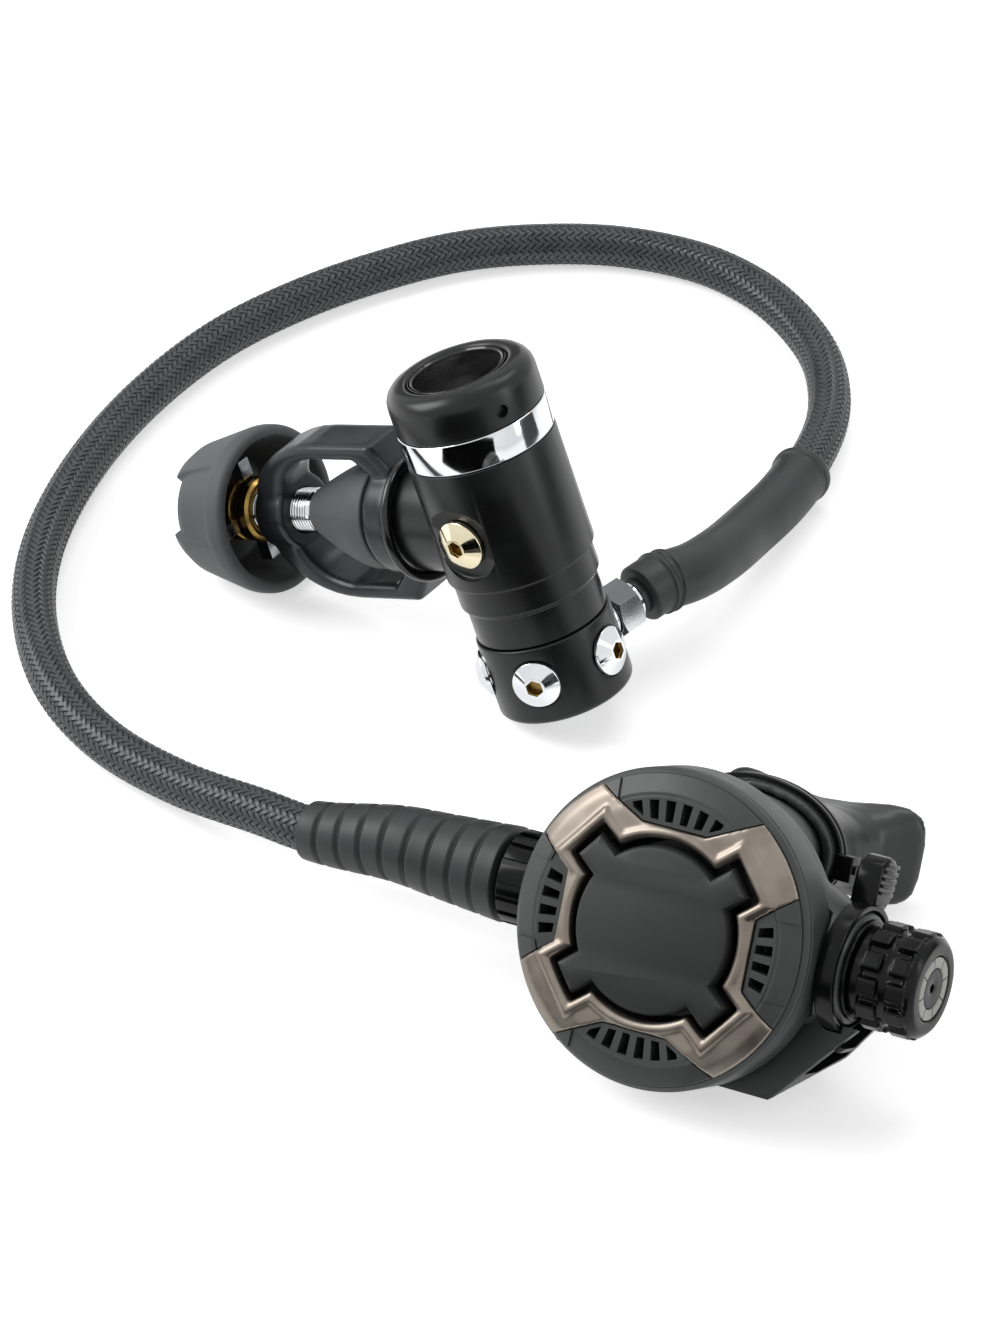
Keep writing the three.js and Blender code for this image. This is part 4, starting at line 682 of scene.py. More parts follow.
# %% Plates and placing
def plate(name, outlines, low, high, bevel=0.0, steps=3):
    """Outlines, the first filled and the rest holes, raised from low to high with rounded edges."""
    data = bpy.data.curves.new(name, "CURVE")
    data.dimensions, data.fill_mode = "2D", "BOTH"
    data.extrude = (high - low) / 2 - bevel
    data.bevel_depth, data.bevel_resolution, data.offset = bevel, steps, -bevel
    for outline in outlines:
        spline = data.splines.new("POLY")
        spline.points.add(len(outline) - 1)
        for point, (x, y) in zip(spline.points, outline):
            point.co = (x, y, 0, 1)
        spline.use_cyclic_u = True
    middle = Matrix.Translation((0, 0, (low + high) / 2))
    return outward_faces(put(flattened(linked(name, data)), middle), MERGE)


def arc(radius, start, end, steps=10):
    """Points of an arc between two angles in degrees."""
    turns = [math.radians(start + (end - start) * k / steps) for k in range(steps + 1)]
    return [(radius * math.cos(a), radius * math.sin(a)) for a in turns]


def put(made, matrix):
    """Moves a piece's mesh, not its object."""
    made.data.transform(matrix)
    return made


def along(axis, up, at=(0, 0, 0)):
    """The matrix whose Z runs along an axis and whose Y points up."""
    axis, up = Vector(axis), Vector(up)
    side = up.cross(axis)
    return Matrix.Translation(at) @ Matrix([[side[i], up[i], axis[i]] for i in range(3)]).to_4x4()


UP = (0, 0, 1)
TO_YOKE = along((1, 0, 0), UP)
print("a bar turned to the yoke points along", tuple(TO_YOKE.col[2][:3]))

# %% Booleans and moulded forms
def combine(operation, base, *tools):
    """Joins, bores or trims a closed mesh with others, which are used up."""
    for tool in tools:
        modifier = base.modifiers.new("combine", "BOOLEAN")
        modifier.operation, modifier.solver, modifier.object = operation, "MANIFOLD", tool
    made = flattened(base)
    for tool in tools:
        drop(tool)
    return made


def moulded(made, voxel, rounds):
    """Melts a joined form into one skin, which rounds its inner corners as a mould does."""
    remesh = made.modifiers.new("melt", "REMESH")
    remesh.mode, remesh.voxel_size, remesh.adaptivity = "VOXEL", voxel, 0.0
    relax = made.modifiers.new("relax", "SMOOTH")
    relax.factor, relax.iterations = 0.5, rounds
    return flattened(made)


trial = combine("DIFFERENCE", bar(2, 0, 1), bar(1, -1, 2))
print("a washer has", len(trial.data.polygons), "faces")
drop(trial)

# %% [markdown]
# ## Copies in a ring
# Plugs, spokes, grip teeth and vents all repeat round an axis. One tree makes such a ring: it puts
# points on a circle, leaves one out if asked, and instances the object on them. A tilt of a quarter
# turn makes the copies face outwards, as the plugs do, and no tilt keeps them upright.

# %% A tree that repeats an object in a ring
ring_tree, size = new_tree("ring_of_copies", {
    "Count": "Int", "Start": "Float", "Pitch": "Float", "Radius": "Float", "Height": "Float",
    "Tilt": "Float", "Skip": "Int", "Finish": "Material"})
number = node(ring_tree, "GeometryNodeInputIndex")
step_angle = node(ring_tree, "ShaderNodeMath", {0: number, 1: size["Pitch"]}, operation="MULTIPLY")
place_angle = node(ring_tree, "ShaderNodeMath", {0: step_angle, 1: size["Start"]}, operation="ADD")
cosine = node(ring_tree, "ShaderNodeMath", {0: place_angle}, operation="COSINE")
sine = node(ring_tree, "ShaderNodeMath", {0: place_angle}, operation="SINE")
spot_x = node(ring_tree, "ShaderNodeMath", {0: cosine, 1: size["Radius"]}, operation="MULTIPLY")
spot_y = node(ring_tree, "ShaderNodeMath", {0: sine, 1: size["Radius"]}, operation="MULTIPLY")
spot = node(ring_tree, "ShaderNodeCombineXYZ", {"X": spot_x, "Y": spot_y, "Z": size["Height"]})
spots = node(ring_tree, "GeometryNodePoints", {"Count": size["Count"], "Position": spot})
kept = node(ring_tree, "FunctionNodeCompare", {2: number, 3: size["Skip"]},
            data_type="INT", operation="NOT_EQUAL")
turn = node(ring_tree, "ShaderNodeCombineXYZ", {"X": 0.0, "Y": size["Tilt"], "Z": place_angle})
copies = node(ring_tree, "GeometryNodeInstanceOnPoints", {
    "Points": spots, "Selection": kept, "Instance": size["Geometry"], "Rotation": turn})
close_tree(ring_tree, copies, size["Finish"])


def ring_of(made, material, count, radius, height=0.0, start=0.0, pitch=None, tilt=0.0, skip=-1):
    """Repeats an object round Z. Angles are in degrees, and a full ring is the default."""
    between = 360 / count if pitch is None else pitch
    return grown(made.name, made, ring_tree, count=count, radius=float(radius), height=float(height),
                 start=math.radians(start), pitch=math.radians(between), tilt=math.radians(tilt),
                 skip=skip, finish=material)


print("ring tree:", len(ring_tree.nodes), "nodes")

# %% [markdown]
# ## First stage: body and spring housing
# The body is a turned bar of brass, anodised black after it was bored. Its lower neck carries the
# turret. Two round flats are milled into its sides for the high-pressure ports, and a boss points at
# the yoke. The chromed band above it is the only part of the spring housing that shows, and the cap
# over it has a broad fillet that makes the soft highlight round its top.

# %% Body
BODY_RADIUS = 20.6
BODY_SEAM = 23
FLAT_RADIUS = 10.6  # the milled flats round the high-pressure ports
FLAT_FROM = 18.6
PORT_LEVEL = 2
BOSS_RADIUS = 15.4
YOKE_START = 30
BAND_TOP = 31.6
CAP_TOP = 44.5
DISC_RADIUS = 13.7
SPANNER_HOLES = (2.75, 4.844, 6.939)  # their directions round the cap, in radians

body = turned("first_stage_body_turned", [
    (0, -45), (8.7, -45), (8.7, -36.3), (7.5, -36.3), (7.5, -34), (8.7, -34), (8.7, -31),
    (18.2, -31, 0.5), (18.2, -21.6, 0.5), (19.5, -20.2, 0.9), (19.5, -12.9, 0.4),
    (BODY_RADIUS, -12.2, 0.5), (BODY_RADIUS, BODY_SEAM - 0.3, 0.35), (0, BODY_SEAM - 0.3)], 128)
boss = put(turned("boss", [(0, 8), (BOSS_RADIUS, 8), (BOSS_RADIUS, YOKE_START - 0.3, 1.2),
                           (0, YOKE_START - 0.3)]), TO_YOKE)
body = combine("UNION", body, boss)
chamber = turned("chamber", [(0, -22), (6.5, -22), (6.5, 4.4), (5.3, 4.4), (5.3, 9), (12, 10), (12, 17.6),
                             (17.9, 17.6), (17.9, 24), (0, 24)])
inlet_way = put(bar(10.3, 14, 31), TO_YOKE)
inlet_drill = put(bar(3.6, 0, 20), TO_YOKE)
flats = [put(turned("flat", [
    (0, 4), (5.9, 4), (5.9, FLAT_FROM), (FLAT_RADIUS, FLAT_FROM, 0.6), (FLAT_RADIUS, 30), (0, 30)]),
    along((0, side, 0), UP, (0, 0, PORT_LEVEL))) for side in (1, -1)]
body = combine("DIFFERENCE", body, chamber, bar(4.3, -46, -37), inlet_way, inlet_drill, *flats)
piece(body, "first_stage_body_turned", black_anodised, "first_stage", "first_stage_body",
      at=FIRST, slot="black_anodised")

# %% Chromed band, cap and its disc
band = turned("chrome_band", [
    (15.2, 19.4), (17.6, 19.4), (17.6, BODY_SEAM), (BODY_RADIUS, BODY_SEAM, 0.3),
    (BODY_RADIUS, BAND_TOP, 0.3), (17.2, BAND_TOP), (17.2, BAND_TOP + 5.4), (15.2, BAND_TOP + 5.4)], 160)
piece(band, "chrome_band", chrome, "first_stage", "spring_housing", at=FIRST, slot="chrome", sharp=30)

cap = turned("spring_cap", [
    (17.5, BAND_TOP + 0.3, 0.3), (BODY_RADIUS, BAND_TOP + 0.3, 0.35), (BODY_RADIUS, CAP_TOP, 4.9),
    (14, CAP_TOP, 1.5), (14, CAP_TOP - 1.6), (5, CAP_TOP - 1.6), (5, CAP_TOP - 3.6),
    (17.5, CAP_TOP - 4.4)], 128)
spanner_holes = [
    put(bar(1.8, 18.6, 22, 40), along((math.cos(a), math.sin(a), 0), UP, (0, 0, BAND_TOP + 4.5)))
    for a in SPANNER_HOLES]
piece(combine("DIFFERENCE", cap, *spanner_holes), "spring_cap", black_anodised, "first_stage", "top_cap",
      at=FIRST, slot="black_anodised")

disc = turned("cap_disc_domed", [
    (0, CAP_TOP - 1.3), (DISC_RADIUS, CAP_TOP - 1.3), (DISC_RADIUS, CAP_TOP - 0.3, 0.3),
    (12.9, CAP_TOP - 0.3, 0.2), (12.4, CAP_TOP - 0.75, 0.2), (10, CAP_TOP - 0.6), (6, CAP_TOP - 0.45),
    (0, CAP_TOP - 0.4)], 128)
piece(disc, "cap_disc_domed", gloss_black, "first_stage", "cap_disc", at=FIRST, slot="gloss_black",
      sharp=50)

# %% [markdown]
# ## Port plugs
# Every port that isn't used is closed by a plug with a coned head and a hexagon socket. The heads
# are plated, but plating hardly reaches into a socket, so the brass shows there. The cup of the
# socket is a piece of its own for that reason. The two high-pressure plugs have a straw tint.

# %% Plugs of the high-pressure and low-pressure ports
SOCKET = 4  # across the flats


def hexagon(across, turned_by=0.0):
    """Corners of a hexagon with a given size across its flats."""
    corner = across / math.sqrt(3)
    return [(corner * math.cos(TURN * i / 6 + turned_by), corner * math.sin(TURN * i / 6 + turned_by))
            for i in range(6)]


def port_plug(thread, length, head, height):
    """A plug along Z with its seat at zero, and the brass cup of its socket."""
    plug = turned("plug", [
        (0, -length), (thread - 0.6, -length), (thread, 0.8 - length), (thread, 0), (head, 0, 0.2),
        (head, height * 0.36, 0.3), (SOCKET * 0.74, height, 0.2), (0, height)], 80)
    plug = combine("DIFFERENCE", plug, plate("socket", [hexagon(SOCKET + 0.3)], height - 2.6, height + 1))
    bevel = turned("bevel", [
        (0, height - 1.2), (1.9, height - 1.2), (2.9, height + 0.2), (0, height + 0.2)], 40)
    cup = combine("DIFFERENCE", plate("cup", [hexagon(SOCKET + 0.28)], height - 2.55, height - 0.12),
                  plate("socket", [hexagon(SOCKET)], height - 2.3, height + 1), bevel)
    return plug, cup


high_plug, high_socket = port_plug(5.6, 9, 7, 3.4)
low_plug, low_socket = port_plug(4.7, 5.6, 6.6, 3.3)
high_names = ["high_pressure_plug_" + str(i) for i in (1, 2)]
low_names = ["low_pressure_plug_" + str(i) for i in (1, 2, 3, 4)]
for made, material, name, slot, stands_for in (
        (high_plug, warm_chrome, "high_pressure_plugs", "warm_chrome", high_names),
        (high_socket, brass, "high_pressure_plug_sockets", "brass", ())):
    both = ring_of(made, material, 2, FLAT_FROM + 0.3, PORT_LEVEL, start=90, tilt=90)
    piece(both, name, material, "first_stage", *stands_for, at=FIRST, slot=slot)
for made, material, name, slot, stands_for in (
        (low_plug, chrome, "low_pressure_plugs", "chrome", low_names),
        (low_socket, brass, "low_pressure_plug_sockets", "brass", ())):
    four = ring_of(made, material, 5, PORT_SEAT, PORT_HEIGHT, start=PORT_ANGLES[0], tilt=90,
                   skip=HOSE_PORT)
    piece(four, name, material, ROOT, *stands_for, at=FIRST, slot=slot)

# %% [markdown]
# ## Turret and hose fitting
# The turret is a cup that turns on the body's neck, so that the hose can point where the diver needs
# it. Each of its five ports has a milled flat just deep enough for the plug's head. The hose's
# fitting is a chromed hexagon whose corners are turned away at both ends, as on every nut.

# %% Turret with five ports
TURRET_RADIUS = 18.8
TURRET_BOTTOM = -54
turret = turned("port_turret", [
    (0, TURRET_BOTTOM), (TURRET_RADIUS, TURRET_BOTTOM, 1.7), (TURRET_RADIUS, -31.3, 0.6), (0, -31.3)], 128)
turret_bore = turned("bore", [(0, -46), (12, -46), (12, -36.8), (9, -36.8), (9, -31), (0, -31)])
bolt_bore = turned("bolt_bore", [
    (0, -55), (7.4, -55), (7.4, TURRET_BOTTOM + 3.4), (4.3, TURRET_BOTTOM + 3.4), (4.3, -45), (0, -45)])
ports = []
for port_angle in [math.radians(degrees) for degrees in PORT_ANGLES]:
    port = turned("port", [(0, 11), (5, 11), (5, 17.9), (7.2, 17.9, 0.3), (7.2, 24), (0, 24)], 64)
    port_out = (math.cos(port_angle), math.sin(port_angle), 0)
    ports.append(put(port, along(port_out, UP, (0, 0, PORT_HEIGHT))))
piece(combine("DIFFERENCE", turret, turret_bore, bolt_bore, *ports), "port_turret", black_anodised, ROOT,
      "turret", at=FIRST, slot="black_anodised")

# %% Hose fitting
HEX_ACROSS = 14.3
HEX_FROM, HEX_TO = 1.2, 9.2
hose_angle = math.radians(PORT_ANGLES[HOSE_PORT])
hose_out = Vector((math.cos(hose_angle), math.sin(hose_angle), 0))
hose_seat = hose_out * PORT_SEAT + Vector((0, 0, PORT_HEIGHT))
turned_ends = turned("turned_ends", [
    (0, HEX_FROM), (6.9, HEX_FROM, 0.4), (8.5, HEX_FROM + 1.0), (8.5, HEX_TO - 1.0), (6.9, HEX_TO, 0.4),
    (0, HEX_TO)])
flats_up = math.radians(30)
nut = combine("INTERSECT", plate("nut", [hexagon(HEX_ACROSS, flats_up)], HEX_FROM, HEX_TO), turned_ends)
stem = turned("stem", [
    (0, -5.6), (4.7, -5.6), (4.7, 0), (6.4, 0, 0.2), (6.4, 0.75, 0.2), (5.5, 0.95), (5.5, 2), (5.6, 2),
    (5.6, FITTING_END, 0.4), (0, FITTING_END)])
piece(combine("UNION", nut, stem), "hose_fitting_nut", chrome, ROOT, "hose_fitting", slot="chrome",
      sharp=30, at=FIRST @ along(hose_out, UP, hose_seat))

# %% [markdown]
# ## Yoke
# The yoke is one forging: a collar behind the inlet, two flat arms and a nose that takes the screw.
# Its edges are generously rounded and its coat is a dark satin grey. The outline is raised to a
# plate, joined with the turned collar and nose, and melted into one skin so that the inner corners
# blend like those of a forging. The two bores are cut last and stay crisp.

# %% Sizes of the yoke
YOKE_END = 83.6
WINDOW = (38, 73.6)
ARM_INNER, ARM_OUTER = 19.2, 23.8
ARM_DEPTH = 15
STAND_UP = Matrix(((0, 0, -1, 0), (0, 1, 0, 0), (1, 0, 0, 0), (0, 0, 0, 1)))  # X becomes Z


def bezier(a, b, c, d, steps=10):
    """Points of a cubic curve after its first end."""
    return [tuple(
        a[i] * (1 - t) ** 3 + 3 * b[i] * t * (1 - t) ** 2 + 3 * c[i] * t * t * (1 - t) + d[i] * t ** 3
        for i in range(2)) for t in (k / steps for k in range(1, steps + 1))]


print("the yoke's window is", round(WINDOW[1] - WINDOW[0], 1), "mm long")

# %% Outline of the yoke, its collar, nose and bores
shoulder = WINDOW[1] - 17
half_outline = [(YOKE_END, 4)]
half_outline += bezier((YOKE_END, 4), (YOKE_END, 13), (WINDOW[1], ARM_OUTER), (shoulder, ARM_OUTER))
half_outline += [(YOKE_START + 5.4, ARM_OUTER), (YOKE_START, 16)]
outline = half_outline + [(x, -y) for x, y in reversed(half_outline)]
crotch = WINDOW[1] - 15
half_window = [(WINDOW[1], 7)]
half_window += bezier((WINDOW[1], 7), (WINDOW[1] - 1.3, 14.2), (WINDOW[1] - 6.3, 17.9), (crotch, ARM_INNER))
half_window += [(WINDOW[0] + 4.5, ARM_INNER), (WINDOW[0], ARM_INNER - 4.5)]
window = half_window + [(x, -y) for x, y in reversed(half_window)]
loop = plate("yoke_forged", [outline, window], -ARM_DEPTH / 2, ARM_DEPTH / 2, 2.1, 4)
put(loop, STAND_UP)
yoke_collar = turned("collar", [
    (0, YOKE_START), (16.4, YOKE_START, 1), (16.4, WINDOW[0], 1.2), (0, WINDOW[0])])
nose = turned("nose", [(0, WINDOW[1] - 0.5), (10.5, WINDOW[1] - 0.5, 0.8), (10.5, YOKE_END - 1.3, 0.6),
                       (9.2, YOKE_END, 0.6), (0, YOKE_END)])
yoke = moulded(combine("UNION", loop, yoke_collar, nose), 0.6, 5)
yoke = combine("DIFFERENCE", yoke, bar(10.3, 20, WINDOW[0] + 1), bar(6.6, WINDOW[1] - 2, YOKE_END + 1))
piece(yoke, "yoke_forged", yoke_coat, "first_stage", "yoke", at=YOKE, slot="matte_coat", sharp=50)

# %% Tether ring on the boss
TETHER_RADIUS, TETHER_AT, TETHER_SIDES = 1.4, YOKE_START - 1.8, 16
tether_turns = [TURN * i / TETHER_SIDES for i in range(TETHER_SIDES)]
tether = turned("tether_ring_round", [
    (BOSS_RADIUS + 1.75 + TETHER_RADIUS * math.cos(a), TETHER_AT + TETHER_RADIUS * math.sin(a))
    for a in tether_turns])
piece(tether, "tether_ring_round", gloss_black, "first_stage", "tether_ring", at=YOKE,
      slot="gloss_black", sharp=60)

# %% [markdown]
# ## Dust cap
# A soft rubber bullet keeps water out of the inlet while the set isn't on a cylinder. The yoke's
# screw presses it down. It was moulded in two halves, which left a hair-fine line along both sides.

# %% Dust cap with its parting line
CAP_SKIRT = 39.3
CAP_END = 66.3
CAP_RADIUS = 15.4
SCREW_RADIUS = 6.3
CONE_START = CAP_SKIRT + 5
CONE_STEPS = 16
BULGE = 1.25  # 1 would be a straight cone
SEAM_HALF, SEAM_RISE = 0.11, 0.09
cone = [(CAP_RADIUS - (CAP_RADIUS - SCREW_RADIUS) * (i / CONE_STEPS) ** BULGE,
         CONE_START + (CAP_END - CONE_START) * i / CONE_STEPS) for i in range(CONE_STEPS + 1)]
cone[-1] = (*cone[-1], 0.7)
dust_cap = turned("dust_cap_rubber", [
    (13.7, CAP_SKIRT, 0.3), (CAP_RADIUS, CAP_SKIRT, 0.7), *cone, (0, CAP_END), (0, 42.6),
    (13.7, 42.6)], 128)
seam_outline = [(r + SEAM_RISE, z) for r, z, *_ in cone]
seam_outline += [(-r, z) for r, z in reversed(seam_outline)]
seam = plate("seam", [seam_outline], -SEAM_HALF, SEAM_HALF)
put(seam, Matrix.Rotation(math.pi / 2, 4, "X"))
inside = turned("inside", [(0, CAP_SKIRT), (13.8, CAP_SKIRT), (13.8, 50), (0, 60)])
dust_cap = combine("UNION", dust_cap, combine("DIFFERENCE", seam, inside))
piece(dust_cap, "dust_cap_rubber", grey_rubber, "first_stage", "dust_cap", slot="grey_rubber", sharp=45,
      at=YOKE @ Matrix.Rotation(math.radians(20), 4, "Z"))

# %% [markdown]
# ## Yoke screw
# The screw has a fine thread. Its pitch measures 1 mm on the photograph. A spiral with that
# pitch is swept with a small six-sided bar, half of which stands out of a plain core.

# %% Screw core and a tree for its thread
SCREW_TIP, SCREW_END = 66.6, 95.1
PITCH, THREAD_TURNS, RIDGE_RADIUS = 1.0, 24.0, 0.43
THREAD_FROM = SCREW_TIP + 1
CORE_OF_THREAD = 5.85
thread_tree, size = new_tree("wind_thread", {
    "Turns": "Float", "Radius": "Float", "Height": "Float", "Ridge": "Float", "Finish": "Material"})
helix = node(thread_tree, "GeometryNodeCurveSpiral", {
    "Resolution": 48, "Rotations": size["Turns"], "Start Radius": size["Radius"],
    "End Radius": size["Radius"], "Height": size["Height"]})
ridge = node(thread_tree, "GeometryNodeCurvePrimitiveCircle", {"Resolution": 6, "Radius": size["Ridge"]})
thread = node(thread_tree, "GeometryNodeCurveToMesh", {
    "Curve": helix, "Profile Curve": ridge, "Fill Caps": True})
joined = node(thread_tree, "GeometryNodeJoinGeometry")
thread_tree.links.new(thread.outputs[0], joined.inputs[0])
thread_tree.links.new(size["Geometry"], joined.inputs[0])
close_tree(thread_tree, joined, size["Finish"])

screw_core = turned("yoke_screw_threaded", [
    (0, SCREW_TIP), (5.2, SCREW_TIP, 0.4), (CORE_OF_THREAD, SCREW_TIP + 0.8), (CORE_OF_THREAD, SCREW_END),
    (0, SCREW_END)])
put(screw_core, Matrix.Translation((0, 0, -THREAD_FROM)))
threaded = grown("yoke_screw_threaded", screw_core, thread_tree, turns=THREAD_TURNS, radius=CORE_OF_THREAD,
                 height=THREAD_TURNS * PITCH, ridge=RIDGE_RADIUS, finish=chrome)
piece(put(threaded, Matrix.Translation((0, 0, THREAD_FROM))), "yoke_screw_threaded", chrome,
      "yoke_screw", "yoke_screw", at=YOKE, slot="chrome", sharp=70)

# %% [markdown]
# ## Knob
# Inside the knob a brass hub with four steel spokes carries a rubber cover, open towards the yoke.
# The cover tapers away from the yoke, and three of its six sectors are sunk at the far end for grip.
# The hub is turned and its spokes are a ring of copies.

# %% Brass hub and steel spokes
HUB_START, HUB_END = 87.1, 102.9
KNOB_MOUTH, KNOB_END = 83.9, 109.9
RIM_RADIUS, RIM_BORE = 23.4, 20.4
hub = turned("knob_hub", [
    (6.6, HUB_START, 0.3), (8.2, HUB_START, 0.5), (9, HUB_START + 0.9), (9, 92.4, 0.2), (8.1, 92.8),
    (8.1, 93.6), (9, 94, 0.2), (9, HUB_END - 3, 0.5), (5.4, HUB_END - 3), (5.4, KNOB_END - 4),
    (0, KNOB_END - 4), (0, 95.4), (6.6, 95.4)])
spoke = plate("spoke", [rectangle(-2, -2, 2, 2)], 0.9, 6.9, 0.6)
spokes = ring_of(spoke, spring_steel, 4, 8.5, HUB_START + 5.4, tilt=90)
# The hub's brass is painted darker, as shade inside the knob's hollow.
piece(hub, "knob_hub", brass, "yoke_knob", "yoke_knob", at=YOKE, slot="brass")
piece(spokes, "knob_spokes", spring_steel, "yoke_knob", at=YOKE, slot="spring_steel")

# %% Rubber cover with three sunk sectors
cover = turned("knob_cover_rubber", [
    (RIM_BORE, KNOB_MOUTH, 1.1), (RIM_RADIUS, KNOB_MOUTH, 1.7), (RIM_RADIUS, 88.2, 6), (18.7, 105, 5),
    (15.9, KNOB_END, 1.2), (13, KNOB_END, 0.5), (13, 104.9), (5.7, 104.9), (5.7, 103.2),
    (15.4, 103.2, 1)], 160)
sunk = turned("sunk", [
    (0, 107.4), (15.6, 107.4, 1.2), (18.1, 103.4, 2), (22.3, 90), (30, 90), (30, 112), (0, 112)])
sector = plate("sector", [[(0, 0)] + arc(40, -30, 30, 3)], 80, 115)
sectors = ring_of(sector, grey_rubber, 3, 0.4, start=30)
cover = moulded(combine("DIFFERENCE", cover, combine("INTERSECT", sunk, sectors)), 0.5, 3)
piece(cover, "knob_cover_rubber", grey_rubber, "yoke_knob", "knob_cover", at=YOKE, slot="grey_rubber",
      sharp=60)

# %% [markdown]
# ## Second stage: ring and front cover
# The cover is two mouldings in the same grey nylon: a ring that screws over the case's rim, and a
# vented face inside it. Water must reach the diaphragm freely, so the face has fans of slots between
# the four wings of the trim. Each fan is a ring of copies of one tapered cutter. Where a wing passes,
# it trims the last slots to triangles. Low steps beside the wings break up the broad rim.

# %% Outlines of the button and the trim
BUTTON_RADIUS, LUG_REACH, LUG_HALF, LUG_ANGLE = 20.8, 27, 4, 39
TRIM_WAIST, TRIM_SIDE, WING_HALF = 25.5, 26.2, 12.5
TRIM_CORNER = 9  # where a wing leaves the frame, beside the button's lug
PAST_RIM = 44  # the wings' outlines run past the cover's rim


def button_outline(margin):
    """The round button with its four lugs, grown by a margin."""
    radius, half = BUTTON_RADIUS + margin, LUG_HALF + margin
    meet = math.degrees(math.asin(half / radius))
    points = []
    lugs = [LUG_ANGLE, 180 - LUG_ANGLE, 180 + LUG_ANGLE, 360 - LUG_ANGLE]
    for angle, following in zip(lugs, lugs[1:] + [lugs[0] + 360]):
        out = Vector((math.cos(math.radians(angle)), math.sin(math.radians(angle))))
        side = Vector((-out.y, out.x))
        points += [tuple(out * (LUG_REACH + margin) + side * across) for across in (-half, half)]
        points += arc(radius, angle + meet, following - meet, 12)
    return points


def trim_outline(grow):
    """The frame round the button with four wings, grown by a margin."""
    points = []
    half = WING_HALF + math.degrees(grow / PAST_RIM)
    for quarter in range(4):
        flipped = quarter % 2 == 1
        middle = quarter * 90 + (90 - LUG_ANGLE if flipped else LUG_ANGLE)
        here, there = (TRIM_WAIST, TRIM_SIDE) if flipped else (TRIM_SIDE, TRIM_WAIST)
        flat = math.radians(quarter * 90)
        out, side = Vector((math.cos(flat), math.sin(flat))), Vector((-math.sin(flat), math.cos(flat)))
        points.append(tuple(out * (here + grow) + side * TRIM_CORNER))
        points += arc(PAST_RIM, middle - half, middle + half)
        points.append(tuple(out * TRIM_CORNER + side * (there + grow)))
    return points


print("the button has", len(button_outline(0)), "corners and the trim", len(trim_outline(0)))

# %% Cover ring
COVER_RADIUS, COVER_FACE, RING_BACK = 40.4, 25.2, 8.7
COVER_REACH = 38.9
TRIM_BACK = 22.9
VENT_PITCH = 8.4  # degrees between slots
ring_piece = turned("cover_ring_screwed", [
    (38.1, RING_BACK, 0.3), (COVER_RADIUS, RING_BACK, 1.1), (COVER_RADIUS, 19.6, 0.3), (40.05, 19.8),
    (40.05, 20.2), (COVER_RADIUS, 20.4, 0.3), (COVER_RADIUS, 21.3, 0.8), (39.2, 22.4, 0.5), (35.9, 22.4),
    (35.9, 19), (38.1, 19)], 160)
piece(ring_piece, "cover_ring_screwed", cover_nylon, ROOT, "cover_ring", at=COVER, slot="composite")

# %% Vented face and its low steps
face = turned("vented_face", [
    (0, 19.8), (35.6, 19.8), (35.6, 22.6), (COVER_REACH, 22.6, 0.2), (COVER_REACH, 23.1, 0.3),
    (34.2, COVER_FACE - 0.3, 1.0), (33.4, COVER_FACE - 0.3), (33, COVER_FACE, 0.2), (0, COVER_FACE)], 160)
steps = []
for middle, half in ((0, 26.5), (90, 38.5), (180, 26.5), (270, 38.5)):
    for side in (-1, 1):
        near, far = middle + side * (half - 11), middle + side * (half + 2)
        inner, outer = arc(33.3, near + side * 2.5, far), arc(COVER_REACH, far, near)
        steps.append(plate("step", [inner + outer], 22.6, 27))
raised = combine("UNION", *steps)
raised = combine("INTERSECT", raised, turned("slope", [
    (0, 22.6), (COVER_REACH, 22.6), (COVER_REACH, 23.7, 0.3), (34.2, 25.5, 1), (0, 25.5)], 160))
face = combine("UNION", face, raised)
slot_outline = [(26.9, -1.05), (32.3, -1.35), (32.3, 1.35), (26.9, 1.05)]
fans = []
for middle, count in ((90, 6), (0, 4), (270, 6), (180, 4)):
    cutter = plate("slot", [slot_outline], 19, 27)
    first_slot = middle - VENT_PITCH * (count - 1) / 2
    fans.append(ring_of(cutter, cover_nylon, count, 0, start=first_slot, pitch=VENT_PITCH))
vents = combine("DIFFERENCE", combine("UNION", *fans), plate("wings", [trim_outline(1.3)], 18, 28))
face = combine("DIFFERENCE", face, vents, plate("well", [trim_outline(0.35)], TRIM_BACK - 0.3, 30),
               plate("opening", [button_outline(3)], 17, 30))
piece(face, "vented_face", cover_nylon, ROOT, "front_cover", at=COVER, slot="composite", sharp=30)

# %% [markdown]
# ## Trim and purge button
# The trim is a plastic moulding with a gunmetal plating. Round the button it is a rounded frame, and
# four wings run from it over the rim. The button under it is rubbery, with four stepped lugs that
# keep it from turning. The face of the button is plain.

# %% Plated trim
frame_part = plate("trim_plated", [button_outline(5.2), button_outline(2)], TRIM_BACK, 26.9, 1.5, 5)
wings = plate("wings", [trim_outline(0), button_outline(3.2)], TRIM_BACK, 30)
dome = turned("dome", [(0, TRIM_BACK), (39.2, TRIM_BACK), (39.2, 23.6, 0.5), (36.4, 25.2, 6), (31, 26.2, 6),
                       (0, 26.2)], 200)
trim = combine("UNION", combine("INTERSECT", wings, dome),
               combine("INTERSECT", frame_part, plate("limit", [trim_outline(0)], 20, 30)))
trim = moulded(trim, 0.42, 4)
piece(trim, "trim_plated", gunmetal, ROOT, "cover_trim", at=COVER, slot="gunmetal", sharp=60)

# %% Purge button with stepped lugs
button = combine(
    "UNION", plate("purge_button_soft", [button_outline(0.3)], 21.8, 28.4, 2.1, 1), bar(4, 16.9, 22.3, 48))
piece(button, "purge_button_soft", soft_black, "purge_button", "purge_button", at=COVER, slot="rubber",
      sharp=30)

